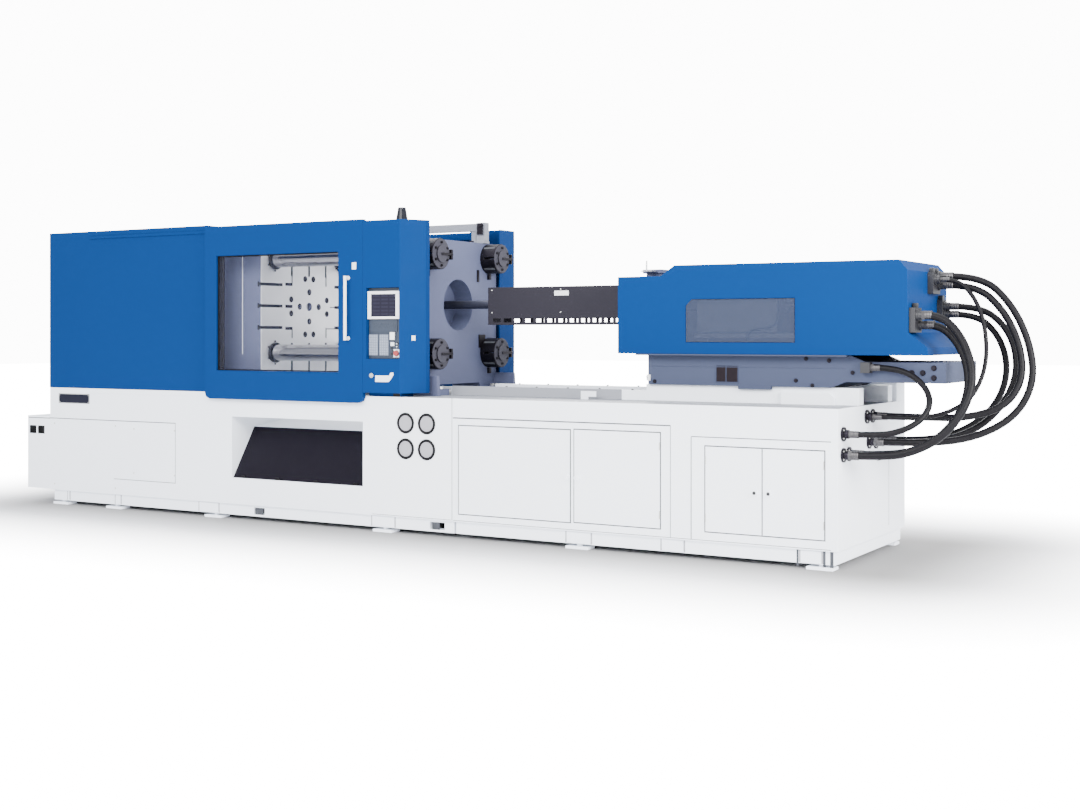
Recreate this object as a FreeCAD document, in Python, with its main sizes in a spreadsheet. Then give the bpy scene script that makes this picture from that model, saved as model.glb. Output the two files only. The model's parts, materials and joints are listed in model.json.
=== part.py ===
import FreeCAD, Part
import Sketcher
import math
import os
import re

# Horizontal injection moulding machine, millimetres.
# +X runs from the clamp toward the injection unit, the operator side faces -Y, the floor is Z = 0.

doc = FreeCAD.newDocument("moulding_machine")
sheet = doc.addObject("Spreadsheet::Sheet", "Sizes")

SIZES = {
    # beds
    "cabinet_left": -4545,
    "bed_left": -4219,
    "bed_joint": 630,
    "bed_right": 3912,
    "bed_half": 900,
    "unit_bed_back": 700,
    "bed_bottom": 140,
    "bed_top": 1155,
    "bed_wall": 20,
    "cabinet_bottom": 145,
    "cabinet_top": 869,
    "sole_inset": 25,
    "sole_width": 90,
    "sole_bottom": 40,
    "foot_length": 200,
    "foot_width": 120,
    "foot_plate": 22,
    # discharge well
    "well_left": -1802,
    "well_right": -306,
    "well_half": 560,
    "well_bottom": 380,
    "well_front_top": 935,
    # clamp line
    "axis_height": 1945,
    "bar_across": 490,
    "bar_rise": 432,
    "bar_radius": 75,
    "running_gap": 0.05,
    "fixed_face": -240,
    "fixed_back": 70,
    "fixed_half": 630,
    "fixed_top": 2520,
    "moving_face": -1650,
    "moving_thickness": 450,
    "moving_half": 680,
    "moving_top": 2560,
    "way_height": 30,
    "way_inner": 560,
    "way_outer": 700,
    "tail_back": -3150,
    "tail_thickness": 300,
    "tail_half": 610,
    "tail_top": 2500,
    "nut_radius": 135,
    "nut_length": 150,
    "ram_radius": 190,
    "ram_flange": 260,
    "cylinder_bore": 200,
    "cylinder_radius": 290,
    "cylinder_left": -4190,
    "ejector_radius": 40,
    "pin_radius": 15,
    "pin_circle": 140,
    "ejector_room": 175,
    "ejector_plate": 165,
    "slot_width": 28,
    "slot_wide": 48,
    "slot_lip": 22,
    "slot_depth": 46,
    # covers
    "hood_left": -4231,
    "hood_right": -2110,
    "hood_half": 895,
    "hood_top": 2685,
    "cover_sheet": 12,
    "door_left": -2090,
    "door_right": -272,
    "door_bottom": 1095,
    "door_top": 2665,
    "door_back": 905.5,
    "door_depth": 45,
    "door_corner": 55,
    "window_left": -1949,
    "window_right": -536,
    "window_bottom": 1354,
    "window_top": 2395,
    "window_sheet": 6,
    "track_left": -3650,
    "column_left": -271,
    "column_top": 2650,
    "handle_place": -426,
    "handle_bottom": 1632,
    "handle_top": 2182,
    "handle_radius": 14,
    "handle_reach": 995,
    # operator panel
    "recess_left": -234,
    "recess_right": 113,
    "recess_bottom": 1474,
    "recess_top": 2078,
    "recess_depth": 50,
    "screen_left": -191,
    "screen_right": 67,
    "screen_bottom": 1833,
    "screen_top": 2023,
    "column_front": 950.5,
    "column_foot": 31,
    "start_place": 25,
    "start_height": 1668,
    "stop_place": 63,
    "stop_height": 1522,
    # injection unit
    "rail_left": 270,
    "rail_step": 2150,
    "rail_low": 1233,
    "rail_right": 3900,
    "rail_inner": 300,
    "rail_outer": 400,
    "carriage_bottom": 1285,
    "carriage_top": 1530,
    "carriage_left": 2180,
    "carriage_half": 430,
    "beam_left": 3750,
    "beam_end": 4545,
    "beam_bottom": 1330,
    "beam_top": 1480,
    "cover_left": 1955,
    "cover_right": 4295,
    "cover_half": 520,
    "cover_low": 2140,
    "cover_high": 2222,
    "barrel_radius": 100,
    "barrel_bore": 40,
    "barrel_left": 470,
    "barrel_right": 2330,
    "nozzle_left": -90,
    "nozzle_radius": 37.5,
    "nozzle_bore": 6,
    "guard_left": 490,
    "guard_right": 1950,
    "feed_place": 2045,
    "feed_half": 85,
    "feed_bore": 40,
    "feed_top": 2215,
    "shot_across": 300,
    "shot_radius": 85,
    "shot_bore": 60,
    "shot_rod": 30,
    "shot_right": 3300,
    "drive_left": 3420,
    "drive_plate": 80,
    "motor_radius": 150,
    "motor_right": 3950,
    "screw_core": 28,
    "screw_pitch": 80,
    # hydraulics
    "port_radius": 32,
    "flange_radius": 52,
    "unit_flange": 40,
    "unit_back": 4340,
    "unit_port_end": 4380,
}

for row, (alias, value) in enumerate(SIZES.items(), start=1):
    sheet.set(f"A{row}", alias)
    sheet.set(f"B{row}", str(value))
    sheet.setAlias(f"B{row}", alias)
doc.recompute()

WORDS = re.compile(r"\b(" + "|".join(SIZES) + r")\b")
NODES = []


def formula(text):
    """Turns a size word or number into an expression on the sheet."""
    return WORDS.sub(r"Sizes.\1", str(text))


def bind(item, prop, text):
    item.setExpression(prop, formula(text))


def place(item, x, y, z):
    bind(item, "Placement.Base.x", x)
    bind(item, "Placement.Base.y", y)
    bind(item, "Placement.Base.z", z)


def box(name, x0, x1, y0, y1, z0, z1):
    item = doc.addObject("Part::Box", name)
    bind(item, "Length", f"({x1}) - ({x0})")
    bind(item, "Width", f"({y1}) - ({y0})")
    bind(item, "Height", f"({z1}) - ({z0})")
    place(item, x0, y0, z0)
    return item


TURNS = {
    "x": FreeCAD.Rotation(FreeCAD.Vector(0, 1, 0), 90),
    "y": FreeCAD.Rotation(FreeCAD.Vector(1, 0, 0), -90),
    "z": FreeCAD.Rotation(),
}


def rod(name, axis, x, y, z, radius, length):
    """Cylinder that starts at x, y, z and runs along the positive axis."""
    item = doc.addObject("Part::Cylinder", name)
    item.Placement = FreeCAD.Placement(FreeCAD.Vector(), TURNS[axis])
    bind(item, "Radius", radius)
    bind(item, "Height", length)
    place(item, x, y, z)
    return item


def ring(name, axis, x, y, z, outer, inner, length):
    return cut(name, rod(f"{name}_outer", axis, x, y, z, outer, length),
               [rod(f"{name}_inner", axis, x, y, z, inner, length)])


def fuse(name, items):
    item = doc.addObject("Part::MultiFuse", name)
    item.Shapes = items
    item.Refine = True
    return item


def group(name, items):
    item = doc.addObject("Part::Compound", name)
    item.Links = items
    return item


def cut(name, base, tools):
    item = doc.addObject("Part::Cut", name)
    item.Base = base
    item.Tool = tools[0] if len(tools) == 1 else group(f"{name}_tools", tools)
    return item


def mirrored(name, source):
    item = doc.addObject("Part::Mirroring", name)
    item.Source = source
    item.Base = (0, 0, 0)
    item.Normal = (0, 1, 0)
    return item


def node(name, item):
    item.Label = name
    NODES.append((name, item))
    return item


def new_body(name):
    body = doc.addObject("PartDesign::Body", f"{name}_body")
    return body


def new_sketch(body, name, role, offset):
    sketch = body.newObject("Sketcher::SketchObject", name)
    plane = next(f for f in body.Origin.OriginFeatures if f.Role == role)
    sketch.AttachmentSupport = [(plane, "")]
    sketch.MapMode = "FlatFace"
    bind(sketch, "AttachmentOffset.Base.z", offset)
    return sketch


def drive(sketch, label, kind, first, at, text):
    """Adds a named distance from the sketch origin, driven by the sheet."""
    index = sketch.addConstraint(Sketcher.Constraint(kind, -1, 1, first, at, 1.0))
    sketch.renameConstraint(index, label)
    bind(sketch, f"Constraints.{label}", text)


def loop(sketch, tag, points):
    """Closed outline of straight lines through size points."""
    values = [(number(u), number(v)) for u, v in points]
    first = sketch.GeometryCount
    count = len(points)
    for i in range(count):
        a = FreeCAD.Vector(*values[i], 0)
        b = FreeCAD.Vector(*values[(i + 1) % count], 0)
        sketch.addGeometry(Part.LineSegment(a, b), False)
    for i in range(count):
        after = first + (i + 1) % count
        sketch.addConstraint(Sketcher.Constraint("Coincident", first + i, 2, after, 1))
    for i, (u, v) in enumerate(points):
        for kind, letter, text, value in (("DistanceX", "u", u, values[i][0]),
                                          ("DistanceY", "v", v, values[i][1])):
            index = sketch.addConstraint(
                Sketcher.Constraint(kind, -1, 1, first + i, 1, value))
            label = f"{letter}{tag}_{i}"
            sketch.renameConstraint(index, label)
            bind(sketch, f"Constraints.{label}", text)


def number(text):
    """Value of a size formula now."""
    words = WORDS.sub(lambda hit: str(SIZES[hit.group(1)]), str(text))
    return float(FreeCAD.Units.Quantity(f"({words})"))


def holes(sketch, tag, circles):
    for i, (u, v, radius) in enumerate(circles):
        centre = FreeCAD.Vector(number(u), number(v), 0)
        index = sketch.addGeometry(
            Part.Circle(centre, FreeCAD.Vector(0, 0, 1), number(radius)), False)
        for kind, letter, text, value in (("DistanceX", "u", u, centre.x),
                                          ("DistanceY", "v", v, centre.y)):
            made = sketch.addConstraint(Sketcher.Constraint(kind, -1, 1, index, 3, value))
            label = f"{letter}{tag}_{i}"
            sketch.renameConstraint(made, label)
            bind(sketch, f"Constraints.{label}", text)
        made = sketch.addConstraint(Sketcher.Constraint("Radius", index, number(radius)))
        sketch.renameConstraint(made, f"r{tag}_{i}")
        bind(sketch, f"Constraints.r{tag}_{i}", radius)


def feature(body, kind, name, role, offset, length, outlines=(), circles=(), back=False):
    """Pad or pocket of straight outlines and circles drawn on one origin plane."""
    sketch = new_sketch(body, f"{name}_sketch", role, offset)
    for k, outline in enumerate(outlines):
        loop(sketch, f"p{k}", outline)
    if circles:
        holes(sketch, "c", circles)
    item = body.newObject(f"PartDesign::{kind}", name)
    item.Profile = sketch
    bind(item, "Length", length)
    item.Reversed = back
    sketch.Visibility = False
    body.Tip = item
    return item


def pad(body, name, role, offset, length, outlines, back=False):
    return feature(body, "Pad", name, role, offset, length, outlines, (), back)


def pocket(body, name, role, offset, length, outlines=(), circles=(), back=False):
    return feature(body, "Pocket", name, role, offset, length, outlines, circles, back)


def rect(u0, u1, v0, v1):
    return [(u0, v0), (u1, v0), (u1, v1), (u0, v1)]


BAR_SPOTS = [(f"{a} * bar_across", f"axis_height + {b} * bar_rise")
             for a in (-1, 1) for b in (-1, 1)]


# ---------------------------------------------------------------- beds

def make_clamp_bed():
    """Welded bed under the clamp, with the discharge well open upward and to the operator."""
    body = new_body("clamp_bed")
    pad(body, "clamp_bed_block", "XZ_Plane", "-bed_half", "2 * bed_half",
        [rect("bed_left", "bed_joint", "bed_bottom", "bed_top")])
    pocket(body, "clamp_bed_well", "XY_Plane", "bed_top", "bed_top - well_bottom",
           [rect("well_left", "well_right", "-well_half", "well_half")])
    pocket(body, "clamp_bed_mouth", "XZ_Plane", "bed_half", "bed_half - well_half",
           [rect("well_left", "well_right", "well_bottom", "well_front_top")])
    node("clamp_bed", body)


DOORS = (
    ("bed_door_1", 685, 1733, 210, 930, 1706, 560, 1),
    ("bed_door_2", 1774, 2515, 215, 935, 1801, 560, -1),
    ("bed_door_3", 2891, 3346, 220, 849, 3284, 526, 1),
    ("bed_door_4", 3346.5, 3810, 220, 849, 3393, 526, -1),
)
DOOR_LAP = 25
DOOR_SHEET = 5
DOOR_GAP = 0.5


def make_injection_bed():
    """Sheet-walled bed under the injection unit, two bays with four door openings."""
    shell = box("unit_bed_block", "bed_joint", "bed_right", "-bed_half",
                "unit_bed_back", "bed_bottom", "bed_top")
    rooms = []
    for i, (x0, x1) in enumerate((("bed_joint + bed_wall", 2650),
                                  (2670, "bed_right - bed_wall"))):
        rooms.append(box(f"unit_bed_room_{i}", x0, x1, "-bed_half + bed_wall",
                         "unit_bed_back - bed_wall", "bed_bottom + bed_wall",
                         "bed_top - bed_wall"))
    for name, x0, x1, z0, z1, *_ in DOORS:
        rooms.append(box(f"{name}_opening", x0 + DOOR_LAP, x1 - DOOR_LAP,
                         "-bed_half - 1", "-bed_half + bed_wall + 1",
                         z0 + DOOR_LAP, z1 - DOOR_LAP))
    node("injection_bed", cut("injection_bed_shell", shell, rooms))


def make_bed_doors():
    """Four flat doors, each with a rounded hinge edge and a round turn latch."""
    for name, x0, x1, z0, z1, kx, kz, hinge in DOORS:
        back = f"-bed_half - {DOOR_GAP}"
        face = f"-bed_half - {DOOR_GAP + DOOR_SHEET}"
        edge = DOOR_SHEET / 2
        left, right = (x0 + edge, x1) if hinge > 0 else (x0, x1 - edge)
        leaf = box(f"{name}_leaf", left, right, face, back, z0, z1)
        roll = rod(f"{name}_roll", "z", left if hinge > 0 else right, f"{back} - {edge}", z0,
                   edge, z1 - z0)
        latch = rod(f"{name}_latch", "y", kx, f"{face} - 14", kz, 24, 14)
        bolt = rod(f"{name}_bolt", "y", kx, back, kz, 9, 0.45)
        node(name, fuse(f"{name}_part", [leaf, roll, latch, bolt]))


def make_sole():
    """Two recessed frames of flat bar under the beds, and the levelling feet below them."""
    frames = []
    for tag, x0, x1, y0, y1 in (
            ("clamp", "bed_left + 40", "bed_joint - 10", "-bed_half", "bed_half"),
            ("unit", "bed_joint + 10", "bed_right - 30", "-bed_half", "unit_bed_back")):
        outer = box(f"sole_{tag}_outer", x0, x1, f"{y0} + sole_inset", f"{y1} - sole_inset",
                    "sole_bottom", "bed_bottom")
        inner = box(f"sole_{tag}_inner", f"{x0} + sole_width", f"{x1} - sole_width",
                    f"{y0} + sole_inset + sole_width", f"{y1} - sole_inset - sole_width",
                    "sole_bottom - 1", "bed_bottom + 1")
        tools = [inner]
        spots = ((-1559, -1434), (374, 525)) if tag == "clamp" else ((2544, 2680),)
        for k, (a, b) in enumerate(spots):
            tools.append(box(f"sole_{tag}_lift_{k}", a, b, f"{y0} - 10", f"{y1} + 10",
                             "sole_bottom + 20", "bed_bottom - 20"))
        frames.append(cut(f"sole_{tag}", outer, tools))
    node("sole_frame", group("sole_frames", frames))
    feet = []
    for x, back in ((-4080, "bed_half"), (-3338, "bed_half"), (-2050, "bed_half"),
                    (-110, "bed_half"), (1785, "unit_bed_back"), (3770, "unit_bed_back")):
        for side, y in (("front", "-bed_half + sole_inset + sole_width / 2"),
                        ("rear", f"{back} - sole_inset - sole_width / 2")):
            tag = f"foot_{len(feet)}_{side}"
            plate = box(f"{tag}_plate", f"{x} - foot_length / 2", f"{x} + foot_length / 2",
                        f"{y} - foot_width / 2", f"{y} + foot_width / 2", 0, "foot_plate")
            stud = rod(f"{tag}_stud", "z", x, y, "foot_plate", 24,
                       "sole_bottom - foot_plate")
            feet.append(fuse(f"{tag}_part", [plate, stud]))
    node("levelling_feet", group("levelling_feet_set", feet))


def make_end_cabinet():
    """Low cabinet on the clamp end with two grille recesses on the operator side."""
    block = box("cabinet_block", "cabinet_left", "bed_left", "-bed_half", "bed_half",
                "cabinet_bottom", "cabinet_top")
    vents = [box(f"cabinet_vent_{i}", x0, x1, "-bed_half - 1", "-bed_half + 15", 690, 770)
             for i, (x0, x1) in enumerate(((-4520, -4420), (-4400, -4325)))]
    node("end_cabinet", cut("end_cabinet_part", block, vents))


def make_discharge():
    """Sloping sheet in the discharge well, and the four round access ports beside it."""
    body = new_body("discharge_chute")
    pad(body, "chute_sheet", "YZ_Plane", "well_left + 0.5", "well_right - well_left - 1",
        [[("-bed_half + 15", "well_bottom"), ("-bed_half + 25", "well_bottom"),
          (-600, "well_bottom + 440"), ("well_half - 10", "well_bottom + 600"),
          ("well_half - 10", "well_bottom + 608"), (-605, "well_bottom + 448")]])
    node("discharge_chute", body)
    ports = []
    for x in (144, 360):
        for z in (720, 936):
            rim = ring(f"port_{x}_{z}_rim", "y", x, "-bed_half - 10", z, 88, 70, 10)
            disc = rod(f"port_{x}_{z}_disc", "y", x, "-bed_half - 6", z, 70, 6)
            ports.append(fuse(f"port_{x}_{z}", [rim, disc]))
    node("round_ports", group("round_port_set", ports))


# ---------------------------------------------------------------- clamp line

def slot_outlines(half, bottom, top, width):
    """Three clamping slots in from each edge of a platen face."""
    wide = f"{width} / 2"
    outlines = []
    for y in (-250, 0, 250):
        outlines.append(rect(f"{y} - {wide}", f"{y} + {wide}", f"{top} - 330", f"{top} + 5"))
        outlines.append(rect(f"{y} - {wide}", f"{y} + {wide}", f"{bottom} - 5",
                             f"{bottom} + 330"))
    for z in (-200, 0, 200):
        outlines.append(rect(f"-{half} - 5", f"-{half} + 300",
                             f"axis_height + {z} - {wide}", f"axis_height + {z} + {wide}"))
        outlines.append(rect(f"{half} - 300", f"{half} + 5",
                             f"axis_height + {z} - {wide}", f"axis_height + {z} + {wide}"))
    return outlines


def bar_holes():
    return [(u, v, "bar_radius + running_gap") for u, v in BAR_SPOTS]


def make_stationary_platen():
    """Fixed platen with its feet, nozzle recess, locating bore and clamping slots."""
    body = new_body("stationary_platen")
    pad(body, "fixed_block", "YZ_Plane", "fixed_face", "fixed_back - fixed_face",
        [[("-fixed_half", "bed_top"), ("-fixed_half + 230", "bed_top"),
          ("-fixed_half + 290", "bed_top + 85"), ("fixed_half - 290", "bed_top + 85"),
          ("fixed_half - 230", "bed_top"), ("fixed_half", "bed_top"),
          ("fixed_half", "fixed_top"), ("-fixed_half", "fixed_top")]])
    for tag, start in (("front", "fixed_half - 35"), ("rear", "-fixed_half")):
        pad(body, f"fixed_cheek_{tag}", "XZ_Plane", start, 35,
            [[("fixed_back - 5", "bed_top"), ("fixed_back + 220", "bed_top"),
              ("fixed_back + 208", "bed_top + 172"), ("fixed_back - 5", "bed_top + 172")]])
    pad(body, "fixed_sole", "XY_Plane", "bed_top", 55,
        [rect("fixed_back - 5", "fixed_back + 170", "-fixed_half + 34", "-fixed_half + 240"),
         rect("fixed_back - 5", "fixed_back + 170", "fixed_half - 240", "fixed_half - 34")])
    pocket(body, "fixed_bores", "YZ_Plane", "fixed_back + 400", "fixed_back - fixed_face + 401",
           circles=bar_holes() + [(0, "axis_height", 62.5)])
    pocket(body, "fixed_recess", "YZ_Plane", "fixed_back", 190,
           circles=[(0, "axis_height", 228)])
    pocket(body, "fixed_ring_seat", "YZ_Plane", "fixed_face", 25,
           circles=[(0, "axis_height", 80)], back=True)
    low = "(bed_top + 85)"
    pocket(body, "fixed_slots", "YZ_Plane", "fixed_face", "slot_depth",
           slot_outlines("fixed_half", low, "fixed_top", "slot_width"), back=True)
    pocket(body, "fixed_slot_rooms", "YZ_Plane", "fixed_face + slot_lip",
           "slot_depth - slot_lip",
           slot_outlines("fixed_half", low, "fixed_top", "slot_wide"), back=True)
    node("stationary_platen", body)


def make_tail_platen():
    """Cylinder platen behind the clamp cylinder's mouth."""
    body = new_body("tail_platen")
    pad(body, "tail_block", "YZ_Plane", "tail_back", "tail_thickness",
        [rect("-tail_half", "tail_half", "bed_top", "tail_top")])
    pocket(body, "tail_bores", "YZ_Plane", "tail_back + tail_thickness",
           "tail_thickness + 1",
           circles=bar_holes() + [(0, "axis_height", "ram_radius + running_gap")])
    node("tail_platen", body)


def make_tie_bars():
    """Four tie bars and the split nuts on both ends of them."""
    bars = [rod(f"tie_bar_{i}", "x", "tail_back - 140", y, z, "bar_radius",
                "fixed_back + 170 - tail_back + 140")
            for i, (y, z) in enumerate(BAR_SPOTS)]
    node("tie_bars", group("tie_bar_set", bars))
    nuts = []
    for i, (y, z) in enumerate(BAR_SPOTS):
        for tag, x in (("fixed", "fixed_back"), ("tail", "tail_back - 150")):
            length = "nut_length" if tag == "fixed" else "150"
            name = f"nut_{tag}_{i}"
            solid = rod(f"{name}_round", "x", x, y, z, "nut_radius", length)
            hole = rod(f"{name}_hole", "x", f"{x} - 1", y, z, "bar_radius + running_gap",
                       f"{length} + 2")
            slit = box(f"{name}_slit", f"{x} + 40", f"{x} + {length} + 1",
                       f"{y} - nut_radius - 1", y, f"{z} - 8", f"{z} + 8")
            nuts.append(cut(f"{name}_part", solid, [hole, slit]))
    node("tie_bar_nuts", group("tie_bar_nut_set", nuts))


def make_clamp_cylinder():
    """Clamp cylinder with its flange on the tail platen and the ram that it drives."""
    tube = rod("cylinder_tube", "x", "cylinder_left", 0, "axis_height", "cylinder_radius",
               "tail_back - cylinder_left")
    flange = rod("cylinder_flange", "x", "tail_back - 60", 0, "axis_height",
                 "cylinder_radius + 70", 60)
    bore = rod("cylinder_room", "x", "cylinder_left + 25", 0, "axis_height",
               "cylinder_bore", "tail_back - cylinder_left")
    node("clamp_cylinder", cut("clamp_cylinder_part",
                               fuse("cylinder_outside", [tube, flange]), [bore]))
    back = "moving_face - moving_thickness"
    shaft = rod("ram_shaft", "x", -4020, 0, "axis_height", "ram_radius", f"{back} + 4020")
    plate = rod("ram_plate", "x", f"{back} - 40", 0, "axis_height", "ram_flange", 40)
    head = rod("ram_head", "x", -4120, 0, "axis_height", "cylinder_bore - running_gap", 100)
    node("clamp_ram", fuse("clamp_ram_part", [shaft, plate, head]))


def make_moving_platen():
    """Moving platen with slots, ejector room and pin holes; the ejector inside it."""
    body = new_body("moving_platen")
    back = "moving_face - moving_thickness"
    foot = "bed_top + way_height"
    pad(body, "moving_block", "YZ_Plane", back, "moving_thickness",
        [[("-moving_half", foot), ("-moving_half + 110", foot),
          ("-moving_half + 110", f"{foot} + 85"), ("moving_half - 110", f"{foot} + 85"),
          ("moving_half - 110", foot), ("moving_half", foot),
          ("moving_half", "moving_top"), ("-moving_half", "moving_top")]])
    pins = [(0, "axis_height + pin_circle"), (0, "axis_height - pin_circle"),
            ("pin_circle", "axis_height"), ("-pin_circle", "axis_height")]
    pin_holes = [(u, v, "pin_radius + running_gap") for u, v in pins]
    pocket(body, "moving_bores", "YZ_Plane", "moving_face", "moving_thickness + 1",
           circles=bar_holes() + pin_holes
           + [(0, "axis_height", "ejector_radius + running_gap")])
    pocket(body, "moving_room", "YZ_Plane", back, 150,
           circles=[(0, "axis_height", "ejector_room")], back=True)
    low = f"({foot} + 85)"
    pocket(body, "moving_slots", "YZ_Plane", "moving_face", "slot_depth",
           slot_outlines("moving_half", low, "moving_top", "slot_width"))
    pocket(body, "moving_slot_rooms", "YZ_Plane", "moving_face - slot_lip",
           "slot_depth - slot_lip",
           slot_outlines("moving_half", low, "moving_top", "slot_wide"))
    node("moving_platen", body)
    plate = rod("ejector_disc", "x", f"{back} + 20", 0, "axis_height", "ejector_plate", 30)
    centre = rod("ejector_centre", "x", f"{back} + 50", 0, "axis_height", "ejector_radius",
                 "moving_thickness - 80")
    rods = [rod(f"ejector_pin_{i}", "x", f"{back} + 50", u, v, "pin_radius",
                "moving_thickness - 80") for i, (u, v) in enumerate(pins)]
    node("ejector_rod", fuse("ejector_rod_part", [plate, centre] + rods))


def make_ways():
    """Hardened ways for the moving platen and the two rails of the injection unit."""
    ways = [box(f"way_{side}", "tail_back + tail_thickness + 60", "fixed_face - 10",
                f"{side} * (way_outer + way_inner) / 2 - (way_outer - way_inner) / 2",
                f"{side} * (way_outer + way_inner) / 2 + (way_outer - way_inner) / 2",
                "bed_top", "bed_top + way_height") for side in (-1, 1)]
    node("platen_ways", group("platen_way_pair", ways))
    rails = []
    for side, start in ((-1, "rail_inner"), (1, "-rail_outer")):
        rail = new_body(f"rail_{'front' if side < 0 else 'rear'}")
        pad(rail, f"rail_beam_{'front' if side < 0 else 'rear'}", "XZ_Plane", start,
            "rail_outer - rail_inner",
            [[("rail_left", "bed_top"), ("rail_right", "bed_top"),
              ("rail_right", "carriage_bottom"), ("rail_step", "carriage_bottom"),
              ("rail_step", "rail_low"), ("rail_left", "rail_low")]])
        rails.append(rail)
    node("carriage_rails", group("carriage_rail_pair", rails))


# ---------------------------------------------------------------- clamp covers

def make_hood():
    """Sheet hood over the clamp drive, open downward and toward the platens."""
    outer = box("hood_outer", "hood_left", "hood_right", "-hood_half", "hood_half",
                "bed_top", "hood_top")
    inner = box("hood_inner", "hood_left + cover_sheet", "hood_right + 1",
                "-hood_half + cover_sheet", "hood_half - cover_sheet", "bed_top - 1",
                "hood_top - cover_sheet")
    node("clamp_hood", cut("clamp_hood_part", outer, [inner]))


def make_columns():
    """Operator column with its rounded corner, and the rear guard column."""
    body = new_body("console_column")
    pad(body, "column_block", "XY_Plane", "bed_top + column_foot",
        "column_top - bed_top - column_foot",
        [[("column_left", "-column_front"), (118, "-column_front"),
          (130, "-column_front + 7"), (246, "-column_front + 196"),
          (250, "-column_front + 212"), (250, -700), ("column_left", -700)]])
    pad(body, "column_plinth", "XY_Plane", "bed_top", "column_foot",
        [rect("column_left + 20", 90, "-bed_half + 15", -715)])
    pocket(body, "column_room", "XY_Plane", "bed_top + column_foot + 12",
           "column_top - bed_top - column_foot - 27",
           [[("column_left + 15", "-column_front + 70"), (140, "-column_front + 70"),
             (225, "-column_front + 205"), (225, -712), ("column_left + 15", -712)]],
           back=True)
    pocket(body, "column_recess", "XZ_Plane", "column_front", "recess_depth",
           [rect("recess_left", "recess_right", "recess_bottom", "recess_top")])
    node("console_column", body)
    rear = new_body("rear_column")
    pad(rear, "rear_block", "XY_Plane", 1270, "column_top + 10 - 1270",
        [[("column_left", "bed_half"), (104, "bed_half"), (104, 638), (91, 638), (91, 700),
          ("column_left", 700)]])
    pad(rear, "rear_leg", "XY_Plane", "bed_top", "1270 - bed_top",
        [rect("column_left", "column_left + 120", 700, "bed_half")])
    node("rear_column", rear)


def make_tracks():
    """Headers between hood and columns with the runner strips of both sliding doors."""
    sides = []
    for tag, near, face, far in (("front", -1, "-hood_half", "-hood_half + 50"),
                                 ("rear", 1, "hood_half - 50", "hood_half")):
        beam = box(f"header_{tag}", "hood_right", "column_left", face, far, 2590, 2650)
        low = "-hood_half - 10" if near < 0 else "hood_half"
        high = "-hood_half" if near < 0 else "hood_half + 10"
        strip = box(f"strip_{tag}", "track_left", "column_left", low, high, 2610, 2635)
        sides.append(fuse(f"track_top_{tag}", [beam, strip]))
        low = "-bed_half - 5" if near < 0 else "bed_half"
        high = "-bed_half" if near < 0 else "bed_half + 5"
        sides.append(box(f"track_low_{tag}", "track_left", "column_left", low, high,
                         1110, 1135))
    node("door_tracks", group("door_track_set", sides))


def make_doors():
    """Sliding safety door with window and bent handle, and its twin on the rear side."""
    body = new_body("safety_door")
    pad(body, "door_leaf", "XZ_Plane", "door_back", "door_depth",
        [[("door_left + door_corner", "door_bottom"), ("door_right - door_corner", "door_bottom"),
          ("door_right - 16", "door_bottom + 16"), ("door_right", "door_bottom + door_corner"),
          ("door_right", "door_top"), ("door_left", "door_top"),
          ("door_left", "door_bottom + door_corner"), ("door_left + 16", "door_bottom + 16")]])
    pocket(body, "door_light", "XZ_Plane", "door_back + door_depth", "door_depth",
           [rect("window_left", "window_right", "window_bottom", "window_top")])
    door = node("safety_door", body)
    pane = box("door_pane", "window_left + 0.3", "window_right - 0.3",
               "-door_back - 20", "-door_back - 20 + window_sheet", "window_bottom + 0.3",
               "window_top - 0.3")
    window = node("door_window", pane)
    bar = rod("handle_bar", "z", "handle_place", "-handle_reach", "handle_bottom",
              "handle_radius", "handle_top - handle_bottom")
    stubs = [rod(f"handle_stub_{k}", "y", "handle_place", "-handle_reach", z,
                 "handle_radius", "handle_reach - door_back - door_depth")
             for k, z in enumerate(("handle_top - handle_radius",
                                    "handle_bottom + handle_radius"))]
    handle = node("door_handle", fuse("door_handle_part", [bar] + stubs))
    node("rear_door", mirrored("rear_door_part", door))
    node("rear_window", mirrored("rear_window_part", window))
    node("rear_handle", mirrored("rear_handle_part", handle))


def make_top_fittings():
    """Cable rail over the mould space with its bracket, and the beacon on the column."""
    rail = box("rail_bar", "hood_right", -14, 420, 480, 2636, 2706)
    foot = box("rail_foot", -80, 80, 400, 500, "fixed_top", "fixed_top + 25")
    post = box("rail_post", -70, -20, 425, 475, "fixed_top + 25", 2636)
    switch = box("rail_switch", -10, 84, 415, 485, "fixed_top + 25", 2712)
    node("top_rails", fuse("top_rail_part", [rail, foot, post, switch]))
    cone = doc.addObject("Part::Cone", "beacon_cone")
    cone.Radius1 = 52
    cone.Radius2 = 33
    cone.Height = 111
    place(cone, 33, "-column_front + 150", "column_top")
    node("beacon", cone)


# ---------------------------------------------------------------- operator panel

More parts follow.
